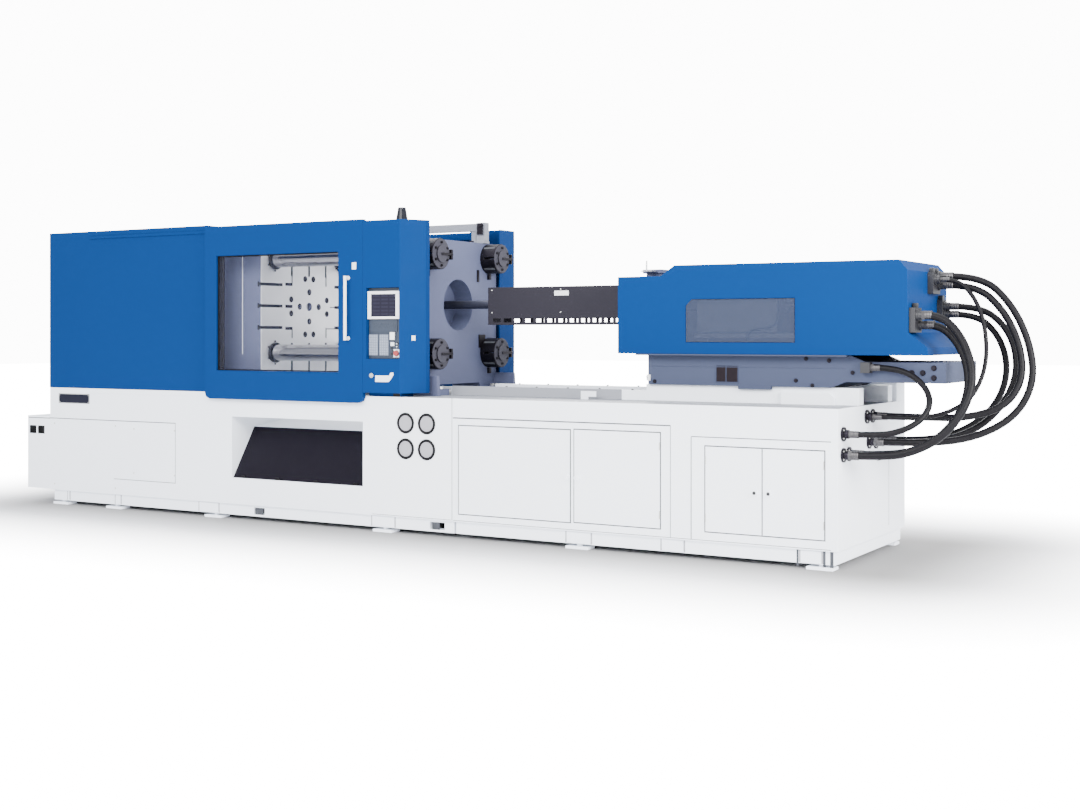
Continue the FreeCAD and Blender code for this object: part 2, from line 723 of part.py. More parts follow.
def make_panel():
    """Panel plate with the screen bezel, screen, two keypads and the push buttons."""
    floor = "-column_front + recess_depth"
    plate = box("panel_plate", "recess_left + 2", "recess_right - 2", f"{floor} - 12", floor,
                "recess_bottom + 2", "recess_top - 2")
    bezel = box("panel_bezel", "screen_left - 37", "screen_right + 41", f"{floor} - 35",
                f"{floor} - 12", "screen_bottom - 21", "screen_top + 25")
    well = box("panel_well", "screen_left", "screen_right", f"{floor} - 36",
               f"{floor} - 27", "screen_bottom", "screen_top")
    tools = [well]
    for k in ("start", "stop"):
        tools.append(rod(f"panel_hole_{k}", "y", f"{k}_place", f"{floor} - 13",
                         f"{k}_height", "8 + running_gap", 14))
    node("console_panel", cut("console_panel_part", fuse("panel_outside", [plate, bezel]),
                              tools))
    node("screen", box("screen_glass", "screen_left + 0.3", "screen_right - 0.3",
                       f"{floor} - 33", f"{floor} - 27", "screen_bottom + 0.3",
                       "screen_top - 0.3"))
    pads = [box(f"keypad_{k}", x0, x1, f"{floor} - 18", f"{floor} - 12", 1503, 1681)
            for k, (x0, x1) in enumerate(((-228, -133), (-117, -22)))]
    node("keypads", group("keypad_pair", pads))
    start_cap = box("start_cap", "start_place - 24", "start_place + 24", f"{floor} - 30",
                    f"{floor} - 18", "start_height - 32", "start_height + 32")
    start_stem = rod("start_stem", "y", "start_place", f"{floor} - 18", "start_height", 8, 12)
    node("start_button", fuse("start_button_part", [start_cap, start_stem]))
    stop_cap = rod("stop_cap", "y", "stop_place", f"{floor} - 32", "stop_height", 24, 14)
    stop_stem = rod("stop_stem", "y", "stop_place", f"{floor} - 18", "stop_height", 8, 12)
    node("stop_button", fuse("stop_button_part", [stop_cap, stop_stem]))


# ---------------------------------------------------------------- injection unit

def make_carriage():
    """Cast carriage on the two rails, reaching back as a beam over the bed end."""
    body = new_body("carriage_base")
    pad(body, "carriage_block", "XZ_Plane", "-carriage_half", "2 * carriage_half",
        [[("carriage_left", "carriage_bottom"), ("beam_left - 60", "carriage_bottom"),
          ("beam_left + 60", "beam_bottom"), ("beam_end", "beam_bottom"),
          ("beam_end", "beam_top"), ("beam_left + 210", "beam_top"),
          ("beam_left + 90", "carriage_top"), ("carriage_left", "carriage_top")]])
    pad(body, "carriage_deck", "XY_Plane", "carriage_top - 12", 12,
        [rect("carriage_left - 70", "beam_left + 90", "-cover_half + 5", "cover_half - 5")])
    pocket(body, "carriage_window", "XZ_Plane", "carriage_half", 12,
           [rect(2770, 2950, 1317, 1437)])
    node("carriage_base", body)


def make_injection_cover():
    """Sheet cover over the injection drive with a window on the operator side."""
    body = new_body("injection_cover")
    pad(body, "cover_block", "XZ_Plane", "-cover_half", "2 * cover_half",
        [[("cover_left", "carriage_top"), ("cover_right + 145", "carriage_top"),
          ("cover_right + 145", "carriage_top + 55"), ("cover_right", "carriage_top + 165"),
          ("cover_right", "cover_high - 75"), ("cover_right - 65", "cover_high"),
          (2450, "cover_high"), (2335, "cover_low"), ("cover_left", "cover_low")]])
    pocket(body, "cover_room", "XZ_Plane", "cover_half - cover_sheet",
           "2 * cover_half - 2 * cover_sheet",
           [[("cover_left + cover_sheet", "carriage_top - 1"),
             ("cover_right + 133", "carriage_top - 1"),
             ("cover_right + 133", "carriage_top + 49"),
             ("cover_right - cover_sheet", "carriage_top + 159"),
             ("cover_right - cover_sheet", "cover_high - 80"),
             ("cover_right - 70", "cover_high - cover_sheet"),
             (2454, "cover_high - cover_sheet"), (2339, "cover_low - cover_sheet"),
             ("cover_left + cover_sheet", "cover_low - cover_sheet")]])
    window = [(2550, 1620), (3445, 1620), (3445, 1955), (2600, 1955), (2550, 1905)]
    pocket(body, "cover_light", "XZ_Plane", "cover_half", "cover_sheet", [window])
    pocket(body, "cover_mouth", "YZ_Plane", "cover_left", "cover_sheet + 1",
           [rect(-172, 172, 1715, 2110)], back=True)
    pocket(body, "cover_throat", "XY_Plane", "cover_low", 80,
           [rect("cover_left - 5", "feed_place + feed_half + 12", "-feed_half - 12",
                 "feed_half + 12")])
    node("injection_cover", body)
    pane = new_body("cover_window")
    inner = [(2550.3, 1620.3), (3444.7, 1620.3), (3444.7, 1954.7), (2600.2, 1954.7),
             (2550.3, 1904.8)]
    pad(pane, "cover_pane", "XZ_Plane", "cover_half - 8", 5, [inner])
    node("cover_window", pane)


def make_barrel():
    """Barrel with nozzle, heater bands, the guard over them and the feed housing."""
    tube = rod("barrel_tube", "x", "barrel_left", 0, "axis_height", "barrel_radius",
               "barrel_right - barrel_left")
    neck = doc.addObject("Part::Cone", "nozzle_neck")
    neck.Placement = FreeCAD.Placement(FreeCAD.Vector(), TURNS["x"])
    bind(neck, "Radius1", "nozzle_radius")
    bind(neck, "Radius2", "barrel_radius")
    neck.Height = 40
    place(neck, "barrel_left - 40", 0, "axis_height")
    nose = rod("nozzle_bar", "x", "nozzle_left", 0, "axis_height", "nozzle_radius",
               "barrel_left - 40 - nozzle_left")
    bore = rod("barrel_room", "x", "barrel_left", 0, "axis_height", "barrel_bore",
               "barrel_right - barrel_left + 1")
    small = rod("nozzle_room", "x", "nozzle_left - 1", 0, "axis_height", "nozzle_bore",
                "barrel_left - nozzle_left + 2")
    throat = rod("barrel_throat", "z", "feed_place", 0, "axis_height", "feed_bore", 150)
    node("barrel", cut("barrel_part", fuse("barrel_outside", [tube, neck, nose]),
                       [bore, small, throat]))
    bands = [ring(f"heater_{k}", "x", 560 + 215 * k, 0, "axis_height",
                  "barrel_radius + 22", "barrel_radius + running_gap", 165)
             for k in range(6)]
    node("heater_bands", group("heater_band_set", bands))
    side, low, high = "barrel_radius + 60", "axis_height - barrel_radius", "axis_height + barrel_radius"
    outer = box("guard_outer", "guard_left", "guard_right", f"-({side})", side,
                f"{low} - 80", f"{high} + 45")
    inner = box("guard_inner", "guard_left + 8", "guard_right - 8", f"5 - ({side})",
                f"{side} - 5", f"{low} - 81", f"{high} + 40")
    ends = rod("guard_hole", "x", "guard_left - 1", 0, "axis_height",
               "barrel_radius + running_gap", "guard_right - guard_left + 2")
    slots = [box(f"guard_slot_{k}", 540 + 110 * k, 620 + 110 * k, f"-1 - ({side})",
                 f"{side} + 1", f"{low} - 60", f"{low} - 25")
             for k in range(12)]
    node("barrel_guard", cut("barrel_guard_part", outer, [inner, ends] + slots))


def make_feed_housing():
    """Cast housing that carries barrel, feed throat and both shot cylinders."""
    wall = box("housing_wall", 2185, "barrel_right", -400, 400, "carriage_top", 2090)
    throat = box("housing_throat", "feed_place - feed_half + 5", 2185, -120, 120, 1780, 2100)
    neck = box("housing_neck", "feed_place - 62", "feed_place + 62", -62, 62, 2100,
               "feed_top - 30")
    flange = box("housing_flange", "feed_place - feed_half", "feed_place + feed_half",
                 "-feed_half", "feed_half", "feed_top - 30", "feed_top")
    bore = rod("housing_bore", "x", 1900, 0, "axis_height", "barrel_radius + running_gap",
               600)
    drop = rod("housing_drop", "z", "feed_place", 0, "axis_height", "feed_bore", 400)
    gate_room = box("housing_gate_room", "feed_place - 50.05", "feed_place + 50.05",
                    -90, 90, "feed_top - 20.05", "feed_top - 11.95")
    bolts = [rod(f"housing_bolt_{a}_{b}", "z", f"feed_place + {a}", b, "feed_top - 11", 6, 12)
             for a in (-68, 68) for b in (-68, 68)]
    node("feed_housing", cut("feed_housing_part",
                             fuse("housing_outside", [wall, throat, neck, flange]),
                             [bore, drop, gate_room] + bolts))
    slide = box("gate_slide", "feed_place - 50", "feed_place + 50", -195, 55,
                "feed_top - 20", "feed_top - 12")
    window = rod("gate_window", "z", "feed_place", 0, "feed_top - 21", "feed_bore", 10)
    grip = rod("gate_grip", "z", "feed_place", -184, "feed_top - 12", 7, 62)
    node("feed_gate", fuse("feed_gate_part", [cut("gate_sheet", slide, [window]), grip]))


def make_injection_drive():
    """Two shot cylinders, the crosshead with motor and rods, and the screw."""
    tubes = []
    for side in (-1, 1):
        y = f"{side} * shot_across"
        name = f"shot_{'left' if side < 0 else 'right'}"
        tube = rod(f"{name}_tube", "x", "barrel_right", y, "axis_height", "shot_radius",
                   "shot_right - barrel_right")
        room = rod(f"{name}_room", "x", "barrel_right + 20", y, "axis_height", "shot_bore",
                   "shot_right - barrel_right - 60")
        hole = rod(f"{name}_hole", "x", "shot_right - 50", y, "axis_height",
                   "shot_rod + running_gap", 60)
        tubes.append(cut(f"{name}_part", tube, [room, hole]))
    node("shot_cylinders", group("shot_cylinder_pair", tubes))
    plate = box("drive_block", "drive_left", "drive_left + drive_plate", -400, 400, 1640, 2120)
    motor = rod("drive_motor", "x", "drive_left + drive_plate", 0, "axis_height",
                "motor_radius", "motor_right - drive_left - drive_plate")
    parts = [plate, motor]
    for side in (-1, 1):
        y = f"{side} * shot_across"
        parts.append(rod(f"drive_rod_{side}", "x", 2500, y, "axis_height", "shot_rod",
                         "drive_left - 2500"))
        parts.append(rod(f"drive_piston_{side}", "x", 2450, y, "axis_height",
                         "shot_bore - running_gap", 50))
    node("screw_drive", fuse("screw_drive_part", parts))
    core = rod("screw_core_bar", "x", "barrel_left + 20", 0, "axis_height", "screw_core",
               2150 - 490)
    shank = rod("screw_shank", "x", 2150, 0, "axis_height", "barrel_bore - running_gap",
                "drive_left - 2150")
    node("screw", fuse("screw_part", [core, shank]))


# ---------------------------------------------------------------- hydraulics

BED_PORTS = ((-800, 971), (-800, 821), (-680, 821), (-270, 1070), (-140, 1070),
             (-220, 880), (-60, 870), (100, 880))
UNIT_PORTS = (((30, 2090), (130, 2119), (130, 2052)), ((-440, 1820), (-370, 1750)),
              ((290, 1895), (290, 1835)))
UNIT_BLOCKS = ((-15, 175, 1985, 2145), (-490, -320, 1695, 1875), (240, 345, 1785, 1945))


def port(name, x, y, z, flange_radius, end):
    flange = rod(f"{name}_flange", "x", x, y, z, flange_radius, 15)
    stub = rod(f"{name}_stub", "x", f"{x} + 15", y, z, "port_radius", f"{end} - ({x}) - 15")
    return fuse(name, [flange, stub])


def make_hydraulics():
    """Pump set in the bed, and the ported plates that the hoses join."""
    drum = rod("pump_drum", "x", 1000, -250, 520, 175, 520)
    case = rod("pump_case", "x", 1520, -250, 520, 110, 240)
    stand = box("pump_stand", 1580, 1700, -330, -170, 220, 460)
    base = box("pump_base", 960, 1860, -450, -50, "bed_bottom + bed_wall", 220)
    feet = [box(f"pump_foot_{k}", x, x + 60, -380, -120, 220, 420)
            for k, x in enumerate((1050, 1400))]
    node("pump_set", fuse("pump_set_part", [drum, case, stand, base] + feet))
    node("bed_ports", group("bed_port_set", [
        port(f"bed_port_{k}", "bed_right", y, z, "flange_radius", "bed_right + 48")
        for k, (y, z) in enumerate(BED_PORTS)]))
    blocks = []
    for k, (y0, y1, z0, z1) in enumerate(UNIT_BLOCKS):
        block = box(f"unit_block_{k}", "cover_right", "unit_back", y0, y1, z0, z1)
        ports = [port(f"unit_port_{k}_{i}", "unit_back", y, z, "unit_flange", "unit_port_end")
                 for i, (y, z) in enumerate(UNIT_PORTS[k])]
        blocks.append(fuse(f"unit_block_{k}_part", [block] + ports))
    blocks.append(box("unit_side", 3940, 4010, "-carriage_half - 70", "-carriage_half", 1400,
                      1478))
    node("unit_manifold", group("unit_manifold_set", blocks))


# Each hose: radius, then route points from the unit to the bed.
HOSES = {
    "hose_1": (26, [(4380, 130, 2119), (4660, 130, 2119), (4880, 130, 1900),
                    (5010, 110, 1620), (5050, 70, 1340), (4940, 0, 1090),
                    (4680, -120, 930), (4340, -220, 880), (3960, -220, 880)]),
    "hose_2": (26, [(4380, 130, 2052), (4620, 130, 2052), (4830, 120, 1850),
                    (4950, 90, 1590), (4975, 40, 1340), (4860, -40, 1150),
                    (4600, -120, 1070), (4280, -140, 1070), (3960, -140, 1070)]),
    "hose_3": (16, [(4380, 30, 2090), (4500, 30, 2090), (4610, 20, 1990),
                    (4690, 0, 1840), (4730, -30, 1670), (4740, -60, 1500),
                    (4710, -100, 1340), (4640, -160, 1200), (4500, -230, 1110),
                    (4330, -270, 1070), (4150, -270, 1070), (3960, -270, 1070)]),
    "hose_4": (24, [(4380, 290, 1895), (4600, 290, 1895), (4790, 270, 1760),
                    (4890, 220, 1560), (4900, 150, 1340), (4800, 60, 1120),
                    (4620, -10, 960), (4310, -60, 870), (3960, -60, 870)]),
    "hose_5": (28, [(4380, -440, 1820), (4510, -440, 1820), (4650, -465, 1690),
                    (4740, -510, 1510), (4770, -570, 1330), (4720, -640, 1140),
                    (4590, -715, 960), (4390, -800, 850), (4170, -800, 821),
                    (3960, -800, 821)]),
    "hose_6": (22, [(4010, -465, 1440), (4150, -465, 1440), (4310, -490, 1400),
                    (4440, -540, 1300), (4490, -610, 1180), (4430, -700, 1060),
                    (4280, -780, 985), (4120, -800, 971), (3960, -800, 971)]),
    "hose_7": (24, [(4380, 290, 1835), (4570, 290, 1835), (4730, 290, 1700),
                    (4810, 280, 1500), (4800, 250, 1290), (4700, 210, 1100),
                    (4520, 150, 960), (4260, 100, 880), (3960, 100, 880)]),
    "hose_8": (28, [(4380, -370, 1750), (4480, -370, 1750), (4600, -380, 1650),
                    (4680, -400, 1500), (4710, -430, 1330), (4680, -480, 1160),
                    (4580, -560, 990), (4420, -640, 870), (4200, -680, 821),
                    (3960, -680, 821)]),
}


def hose_shape(radius, route):
    """Straight runs joined by tangent arcs, swept with the hose's circle."""
    points = [FreeCAD.Vector(*p) for p in route]
    edges = []
    start = points[0]
    radii = []
    for before, corner, after in zip(points, points[1:], points[2:]):
        back = (before - corner).normalize()
        ahead = (after - corner).normalize()
        turn = math.pi - back.getAngle(ahead)
        if turn < 1e-4:
            continue
        run = 0.45 * min((before - corner).Length, (after - corner).Length)
        radii.append(run / math.tan(turn / 2))
        enter = corner + back * run
        leave = corner + ahead * run
        middle = (back + ahead).normalize()
        depth = radii[-1] / math.cos(turn / 2) - radii[-1]
        edges.append(Part.LineSegment(start, enter).toShape())
        edges.append(Part.Arc(enter, corner + middle * depth, leave).toShape())
        start = leave
    edges.append(Part.LineSegment(start, points[-1]).toShape())
    wire = Part.Wire(edges)
    ring_edge = Part.makeCircle(radius, points[0], points[1] - points[0])
    tube = wire.makePipeShell([Part.Wire([ring_edge])], True, False)
    return tube, wire.Length, min(radii)


def make_hoses():
    for name, (radius, route) in HOSES.items():
        shape, length, tightest = hose_shape(radius, route)
        item = doc.addObject("Part::Feature", f"{name}_tube")
        item.Shape = shape
        item.Placement = FreeCAD.Placement()
        node(name, item)
        share = shape.Volume / (math.pi * radius ** 2 * length)
        print(f"{name}: length {length:.0f}, tightest bend {tightest:.0f}, "
              f"diameter {2 * radius}, volume share {share:.4f}")


make_clamp_bed()
make_injection_bed()
make_bed_doors()
make_sole()
make_end_cabinet()
make_discharge()
make_stationary_platen()
make_tail_platen()
make_tie_bars()
make_clamp_cylinder()
make_moving_platen()
make_ways()
make_hood()
make_columns()
make_tracks()
make_doors()
make_top_fittings()
make_panel()
make_carriage()
make_injection_cover()
make_barrel()
make_feed_housing()
make_injection_drive()
make_hydraulics()
make_hoses()
doc.recompute()

problems = []
for item in doc.Objects:
    if "Invalid" in item.State or "Error" in item.State:
        problems.append(item.Name)
for name, item in NODES:
    shape = item.Shape
    if shape.isNull() or not shape.isValid() or not shape.Solids:
        problems.append(name)
if problems:
    raise RuntimeError(f"bad features: {problems}")

os.makedirs("parts", exist_ok=True)
for name, item in NODES:
    item.Shape.exportStep(f"parts/{name}.step")
    bounds = item.Shape.BoundBox
    print(f"{name}: {len(item.Shape.Solids)} solids, volume {item.Shape.Volume / 1e9:.4f} m3, "
          f"x {bounds.XMin:.1f}..{bounds.XMax:.1f} y {bounds.YMin:.1f}..{bounds.YMax:.1f} "
          f"z {bounds.ZMin:.1f}..{bounds.ZMax:.1f}")
print(f"{len(NODES)} nodes")
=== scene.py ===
import bmesh
import bpy
import json
import math
from itertools import product
from mathutils import Matrix, Vector
from mathutils.geometry import area_tri

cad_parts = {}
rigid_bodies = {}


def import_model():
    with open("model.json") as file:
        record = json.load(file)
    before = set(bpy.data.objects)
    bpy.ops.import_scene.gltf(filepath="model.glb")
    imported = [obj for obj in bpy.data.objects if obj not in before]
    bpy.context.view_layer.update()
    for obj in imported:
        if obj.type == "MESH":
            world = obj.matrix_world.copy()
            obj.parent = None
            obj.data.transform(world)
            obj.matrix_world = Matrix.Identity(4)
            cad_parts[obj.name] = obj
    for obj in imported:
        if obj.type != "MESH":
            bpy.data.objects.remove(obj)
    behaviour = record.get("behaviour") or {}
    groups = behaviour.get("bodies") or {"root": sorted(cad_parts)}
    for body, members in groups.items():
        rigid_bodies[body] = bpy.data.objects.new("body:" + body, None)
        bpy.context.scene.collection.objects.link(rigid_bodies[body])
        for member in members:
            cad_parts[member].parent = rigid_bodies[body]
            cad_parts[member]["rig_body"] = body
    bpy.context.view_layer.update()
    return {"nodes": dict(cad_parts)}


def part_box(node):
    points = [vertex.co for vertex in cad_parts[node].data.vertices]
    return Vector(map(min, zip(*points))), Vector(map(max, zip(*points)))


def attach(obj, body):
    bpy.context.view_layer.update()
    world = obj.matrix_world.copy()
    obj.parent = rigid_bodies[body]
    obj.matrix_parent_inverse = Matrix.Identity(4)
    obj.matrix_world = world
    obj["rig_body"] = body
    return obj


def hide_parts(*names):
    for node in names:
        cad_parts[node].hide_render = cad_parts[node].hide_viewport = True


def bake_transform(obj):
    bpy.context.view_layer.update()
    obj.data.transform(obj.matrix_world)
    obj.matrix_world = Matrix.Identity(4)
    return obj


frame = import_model()

# Camera and studio. A long lens stands at eye height off the injection end's front corner,
# level, with the horizon above the middle of the frame. Big soft lamps and a pale floor.
FRAME_WIDTH, FRAME_HEIGHT, FOCAL, HORIZON = 1080, 810, 1443, 334


def put(name, data):
    """Adds an object that shows the data."""
    item = bpy.data.objects.new(name, data)
    bpy.context.scene.collection.objects.link(item)
    return item


def lamp(name, place, aim, size, power, tint=(1, 1, 1)):
    data = bpy.data.lights.new(name, "AREA")
    data.shape = "RECTANGLE"
    data.size, data.size_y = size
    data.energy = power
    data.color = tint
    item = put(name, data)
    item.location = place
    item.rotation_euler = (Vector(aim) - Vector(place)).to_track_quat("-Z", "Y").to_euler()


camera_data = bpy.data.cameras.new("camera")
camera_data.sensor_width = 36
camera_data.lens = camera_data.sensor_width * FOCAL / FRAME_WIDTH
camera_data.shift_y = (HORIZON - FRAME_HEIGHT / 2) / FRAME_WIDTH
camera_data.clip_end = 100
camera = put("camera", camera_data)
camera.location = (7.325, -10.74, 1.685)
camera.rotation_euler = (math.radians(90), 0, math.radians(30.8))
bpy.context.scene.camera = camera
lamp("lamp_front", (1.0, -9.5, 6.5), (0, 0, 1.2), (9, 4), 1800)
lamp("lamp_end", (9.6, -3.0, 3.6), (3, 0, 0.9), (5, 3), 1300, (1, 0.99, 0.98))
lamp("lamp_top", (0, 1.0, 8.5), (0, 0, 0), (11, 6), 1100)
lamp("lamp_back", (-2, 9.0, 5.0), (0, 0, 1.5), (9, 4), 900)
world = bpy.data.worlds.new("studio")
world.use_nodes = True
bpy.context.scene.world = world
nodes, wires = world.node_tree.nodes, world.node_tree.links
sky = nodes["Background"]
sky.inputs["Color"].default_value = (0.94, 0.96, 1.0, 1)
sky.inputs["Strength"].default_value = 1.9
backdrop = nodes.new("ShaderNodeBackground")
backdrop.inputs["Strength"].default_value = 16
chooser = nodes.new("ShaderNodeMixShader")
rays = nodes.new("ShaderNodeLightPath")
for k, socket in enumerate((rays.outputs["Is Camera Ray"], sky.outputs[0], backdrop.outputs[0])):
    wires.new(socket, chooser.inputs[k])
wires.new(chooser.outputs[0], nodes["World Output"].inputs["Surface"])


# Floor. A plain pale seamless sheet, well past the machine on every side. Near the machine's
# footprint its colour is darkened as a painted shadow, and further out it glows into the
# backdrop.
class Wire:
    """A value in a shader: operators, math() and ease() add the nodes that work on it."""

    def __init__(self, finish, socket):
        self.finish = finish
        self.socket = socket

    def math(self, operation, other=0.0, swap=False):
        one, two = (other, self) if swap else (self, other)
        return self.finish.node("ShaderNodeMath", {"operation": operation}, {0: one, 1: two})

    def __add__(self, other):
        return self.math("ADD", other)

    def __sub__(self, other):
        return self.math("SUBTRACT", other)

    def __rsub__(self, other):
        return self.math("SUBTRACT", other, True)

    def __mul__(self, other):
        return self.math("MULTIPLY", other)

    __radd__, __rmul__ = __add__, __mul__

    def __lt__(self, other):
        return self.math("LESS_THAN", other)

    def ease(self, start, end, first, last):
        """Goes smoothly from first to last while this value goes from start to end."""
        return self.finish.node("ShaderNodeMapRange", {"interpolation_type": "SMOOTHSTEP"},
                                {0: self, 1: start, 2: end, 3: first, 4: last})


class Finish:
    """One material and a slot name that it stores but nothing uses. node() adds a node: settings
    first, then inputs.
    """

    def __init__(self, name, color, roughness, slot="", specular=0.5, **constants):
        self.material = bpy.data.materials.new(name)
        self.material.use_nodes = True
        self.tree = self.material.node_tree
        self.color = (*color, 1)
        self.slot = slot
        self.set("Base Color", self.color)
        self.set("Roughness", roughness)
        self.set("Specular IOR Level", specular)
        for key, value in constants.items():
            self.set(key.replace("_", " "), value)
        self.place = self.node("ShaderNodeTexCoord", {}, {}, "Object")

    def feed(self, socket, value):
        if isinstance(value, Wire):
            self.tree.links.new(value.socket, socket)
        else:
            socket.default_value = value

    def set(self, name, value):
        self.feed(self.tree.nodes["Principled BSDF"].inputs[name], value)

    def node(self, kind, settings, inputs, output=0):
        made = self.tree.nodes.new(kind)
        for key, value in settings.items():
            setattr(made, key, value)
        for key, value in inputs.items():
            self.feed(made.inputs[key], value)
        return Wire(self, made.outputs[output])

    def split(self, vector):
        made = self.node("ShaderNodeSeparateXYZ", {}, {0: vector}).socket.node
        return [Wire(self, socket) for socket in made.outputs]

    def noise(self, scale, detail=2.0, stretch=None, roughness=0.5):
        place = self.place
        if stretch:
            place = self.node("ShaderNodeMapping", {}, {"Vector": place, "Scale": stretch})
        return self.node("ShaderNodeTexNoise", {},
                         {"Vector": place, "Scale": scale, "Detail": detail,
                          "Roughness": roughness}, "Fac")

    def blend(self, factor, first, second):
        return self.node("ShaderNodeMix", {"data_type": "RGBA"},
                         {0: factor, 6: first, 7: second}, 2)

    def bump(self, height, strength, distance, under=None):
        inputs = {"Height": height, "Strength": strength, "Distance": distance}
        if under is not None:
            inputs["Normal"] = under
        return self.node("ShaderNodeBump", {}, inputs)

    def mottle(self, scale, detail, low, high):
        """Base colour that drifts between two shades of itself."""
        self.set("Base Color", self.blend(self.noise(scale, detail), shade(self.color, low),
                                          shade(self.color, high)))
        return self

    def gloss(self, start, span, scale, detail):
        """Roughness that drifts up from start by span."""
        self.set("Roughness", start + self.noise(scale, detail) * span)
        return self

    def grain(self, scale, detail, strength, distance):
        """Fine uneven surface."""
        self.set("Normal", self.bump(self.noise(scale, detail), strength, distance))
        return self


def shade(color, factor):
    return (*[min(1.0, c * factor) for c in color[:3]], 1)


floor_mesh = bpy.data.meshes.new("floor")
floor_mesh.from_pydata([(-60, -40, 0), (60, -40, 0), (60, 70, 0), (-60, 70, 0)], [],
                       [(0, 1, 2, 3)])
paper = Finish("floor_paper", (0.88, 0.88, 0.9), 0.9)
past_end, past_side = [
    (spot.math("ABSOLUTE") - half).math("MAXIMUM")
    for spot, half in zip(paper.split(paper.place), (4.15, 0.8))]
away = (past_end * past_end + past_side * past_side).math("SQRT")
seen = paper.node("ShaderNodeLightPath", {}, {}, "Is Camera Ray")
# Painted shadow: for camera rays the floor's colour darkens towards the machine's footprint.
painted_shadow_near = away.ease(0.0, 1.3, 1.0, 0.0) * seen
paper.set("Base Color", paper.blend(painted_shadow_near, paper.color, (0.22, 0.215, 0.21, 1)))
paper.set("Emission Color", (1, 1, 1, 1))
paper.set("Emission Strength", away.ease(0.6, 3.3, 0.0, 15.0) * seen)
floor_mesh.materials.append(paper.material)
put("floor", floor_mesh)


# Sole frame and levelling feet. A welded frame of box section, painted white, stands on twelve
# steel pads with screwed studs. Its cross members end in ribs that stand out at the sides.
HARD_EDGE, CREASE, FLAT = math.radians(30), math.radians(32), math.radians(0.5)
WELD, VOLUME_SLACK, AREA_SLACK = 0.00002, 0.03, 0.002
SPOTS = {"XZ": lambda a, b, c: (a, c, b), "YZ": lambda a, b, c: (c, a, b)}


def enamel(name, color, roughness, slot, peel=0.3, dust=0.0, **constants):
    """Baked enamel: orange peel, slight drift in shade, dust that thickens near the floor."""
    finish = Finish(name, color, roughness, slot, Coat_Roughness=0.25, **constants)
    cloud = finish.noise(6, 4, roughness=0.6)
    low = finish.split(finish.place)[2].ease(1.1, 0.0, 0.0, dust)
    tone = finish.blend(finish.noise(0.9, 3), shade(finish.color, 0.95),
                        shade(finish.color, 1.04))
    grime = (*[c * share + 0.03 for c, share in zip(color, (0.62, 0.6, 0.56))], 1)
    finish.set("Base Color", finish.blend(low * (cloud * 1.2), tone, grime))
    finish.set("Roughness", roughness - 0.06 + cloud * 0.12)
    ripple = finish.bump(finish.noise(95, 2), peel * 0.35, 0.0009)
    finish.set("Normal", finish.bump(finish.noise(420, 2), peel, 0.00035, ripple))
    return finish


def machined(name, color, roughness, slot, stretch=(1, 40, 40), depth=0.25, marks=0.5):
    """Bare metal: grinding lines along one direction, faint stains, uneven gloss."""
    finish = Finish(name, color, roughness, slot, Metallic=1.0)
    lines = finish.noise(26, 5, stretch, 0.7)
    stain = finish.noise(5, 5, roughness=0.65)
    finish.set("Base Color", finish.blend(stain * stain * marks * 2.0,
                                          shade(finish.color, 1.05), shade(finish.color, 0.62)))
    finish.set("Roughness", roughness - 0.08 + lines * 0.14 + stain * 0.08)
    finish.set("Normal", finish.bump(lines, depth, 0.0004))
    return finish


def repaint(item, finish, chosen):
    """Gives the faces that the test picks a second finish."""
    item.data.materials.append(finish.material)
    for face in item.data.polygons:
        if chosen(face):
            face.material_index = len(item.data.materials) - 1


def made_mesh(item):
    """The item's mesh with its modifiers or its curve worked out."""
    return bpy.data.meshes.new_from_object(item.evaluated_get(
        bpy.context.evaluated_depsgraph_get()))


def smooth_line(route):
    """One smooth curve through a route, as evenly sampled points."""
    data = bpy.data.curves.new("line", "CURVE")
    data.dimensions = "3D"
    data.resolution_u = 12
    spline = data.splines.new("NURBS")
    spline.points.add(len(route) - 1)
    for spot, point in zip(spline.points, route):
        spot.co = (*point, 1)
    spline.order_u = 3
    spline.use_endpoint_u = True
    item = put("line", data)
    points = [v.co.copy() for v in made_mesh(item).vertices]
    bpy.data.objects.remove(item)
    return points


def circle(sides, shift=0.0):
    """Angles of evenly spaced spots round a circle."""
    return [2 * math.pi * (k + shift) / sides for k in range(sides)]


def written(bm, name):
    """What was built, as a mesh; the builder is freed."""
    mesh = bpy.data.meshes.new(name)
    bm.to_mesh(mesh)
    bm.free()
    return mesh


def swept_tube(name, points, radius, sides=20):
    """Tube of rings square to the line, closed at both ends, with its wrap in a UV map."""
    bm = bmesh.new()
    uv = bm.loops.layers.uv.new("wrap")
    side = Vector((0, 1, 0))
    rings, runs = [], [0.0]
    for k, point in enumerate(points):
        ahead = (points[min(k + 1, len(points) - 1)] - points[max(k - 1, 0)]).normalized()
        side = (side - ahead * side.dot(ahead)).normalized()
        up = ahead.cross(side)
        rings.append([bm.verts.new(point + radius * (math.cos(a) * side + math.sin(a) * up))
                      for a in circle(sides)])
        if k:
            runs.append(runs[-1] + (point - points[k - 1]).length)
    for k in range(len(points) - 1):
        for i in range(sides):
            corners = ((i, k), (i, k + 1), (i + 1, k + 1), (i + 1, k))
            face = bm.faces.new([rings[v][u % sides] for u, v in corners])
            for loop, (u, v) in zip(face.loops, corners):
                loop[uv].uv = (u / sides, runs[v])
    bm.faces.new(rings[0])
    bm.faces.new(list(reversed(rings[-1])))
    bmesh.ops.recalc_face_normals(bm, faces=bm.faces)
    mesh = written(bm, name)
    mesh.shade_smooth()
    return mesh


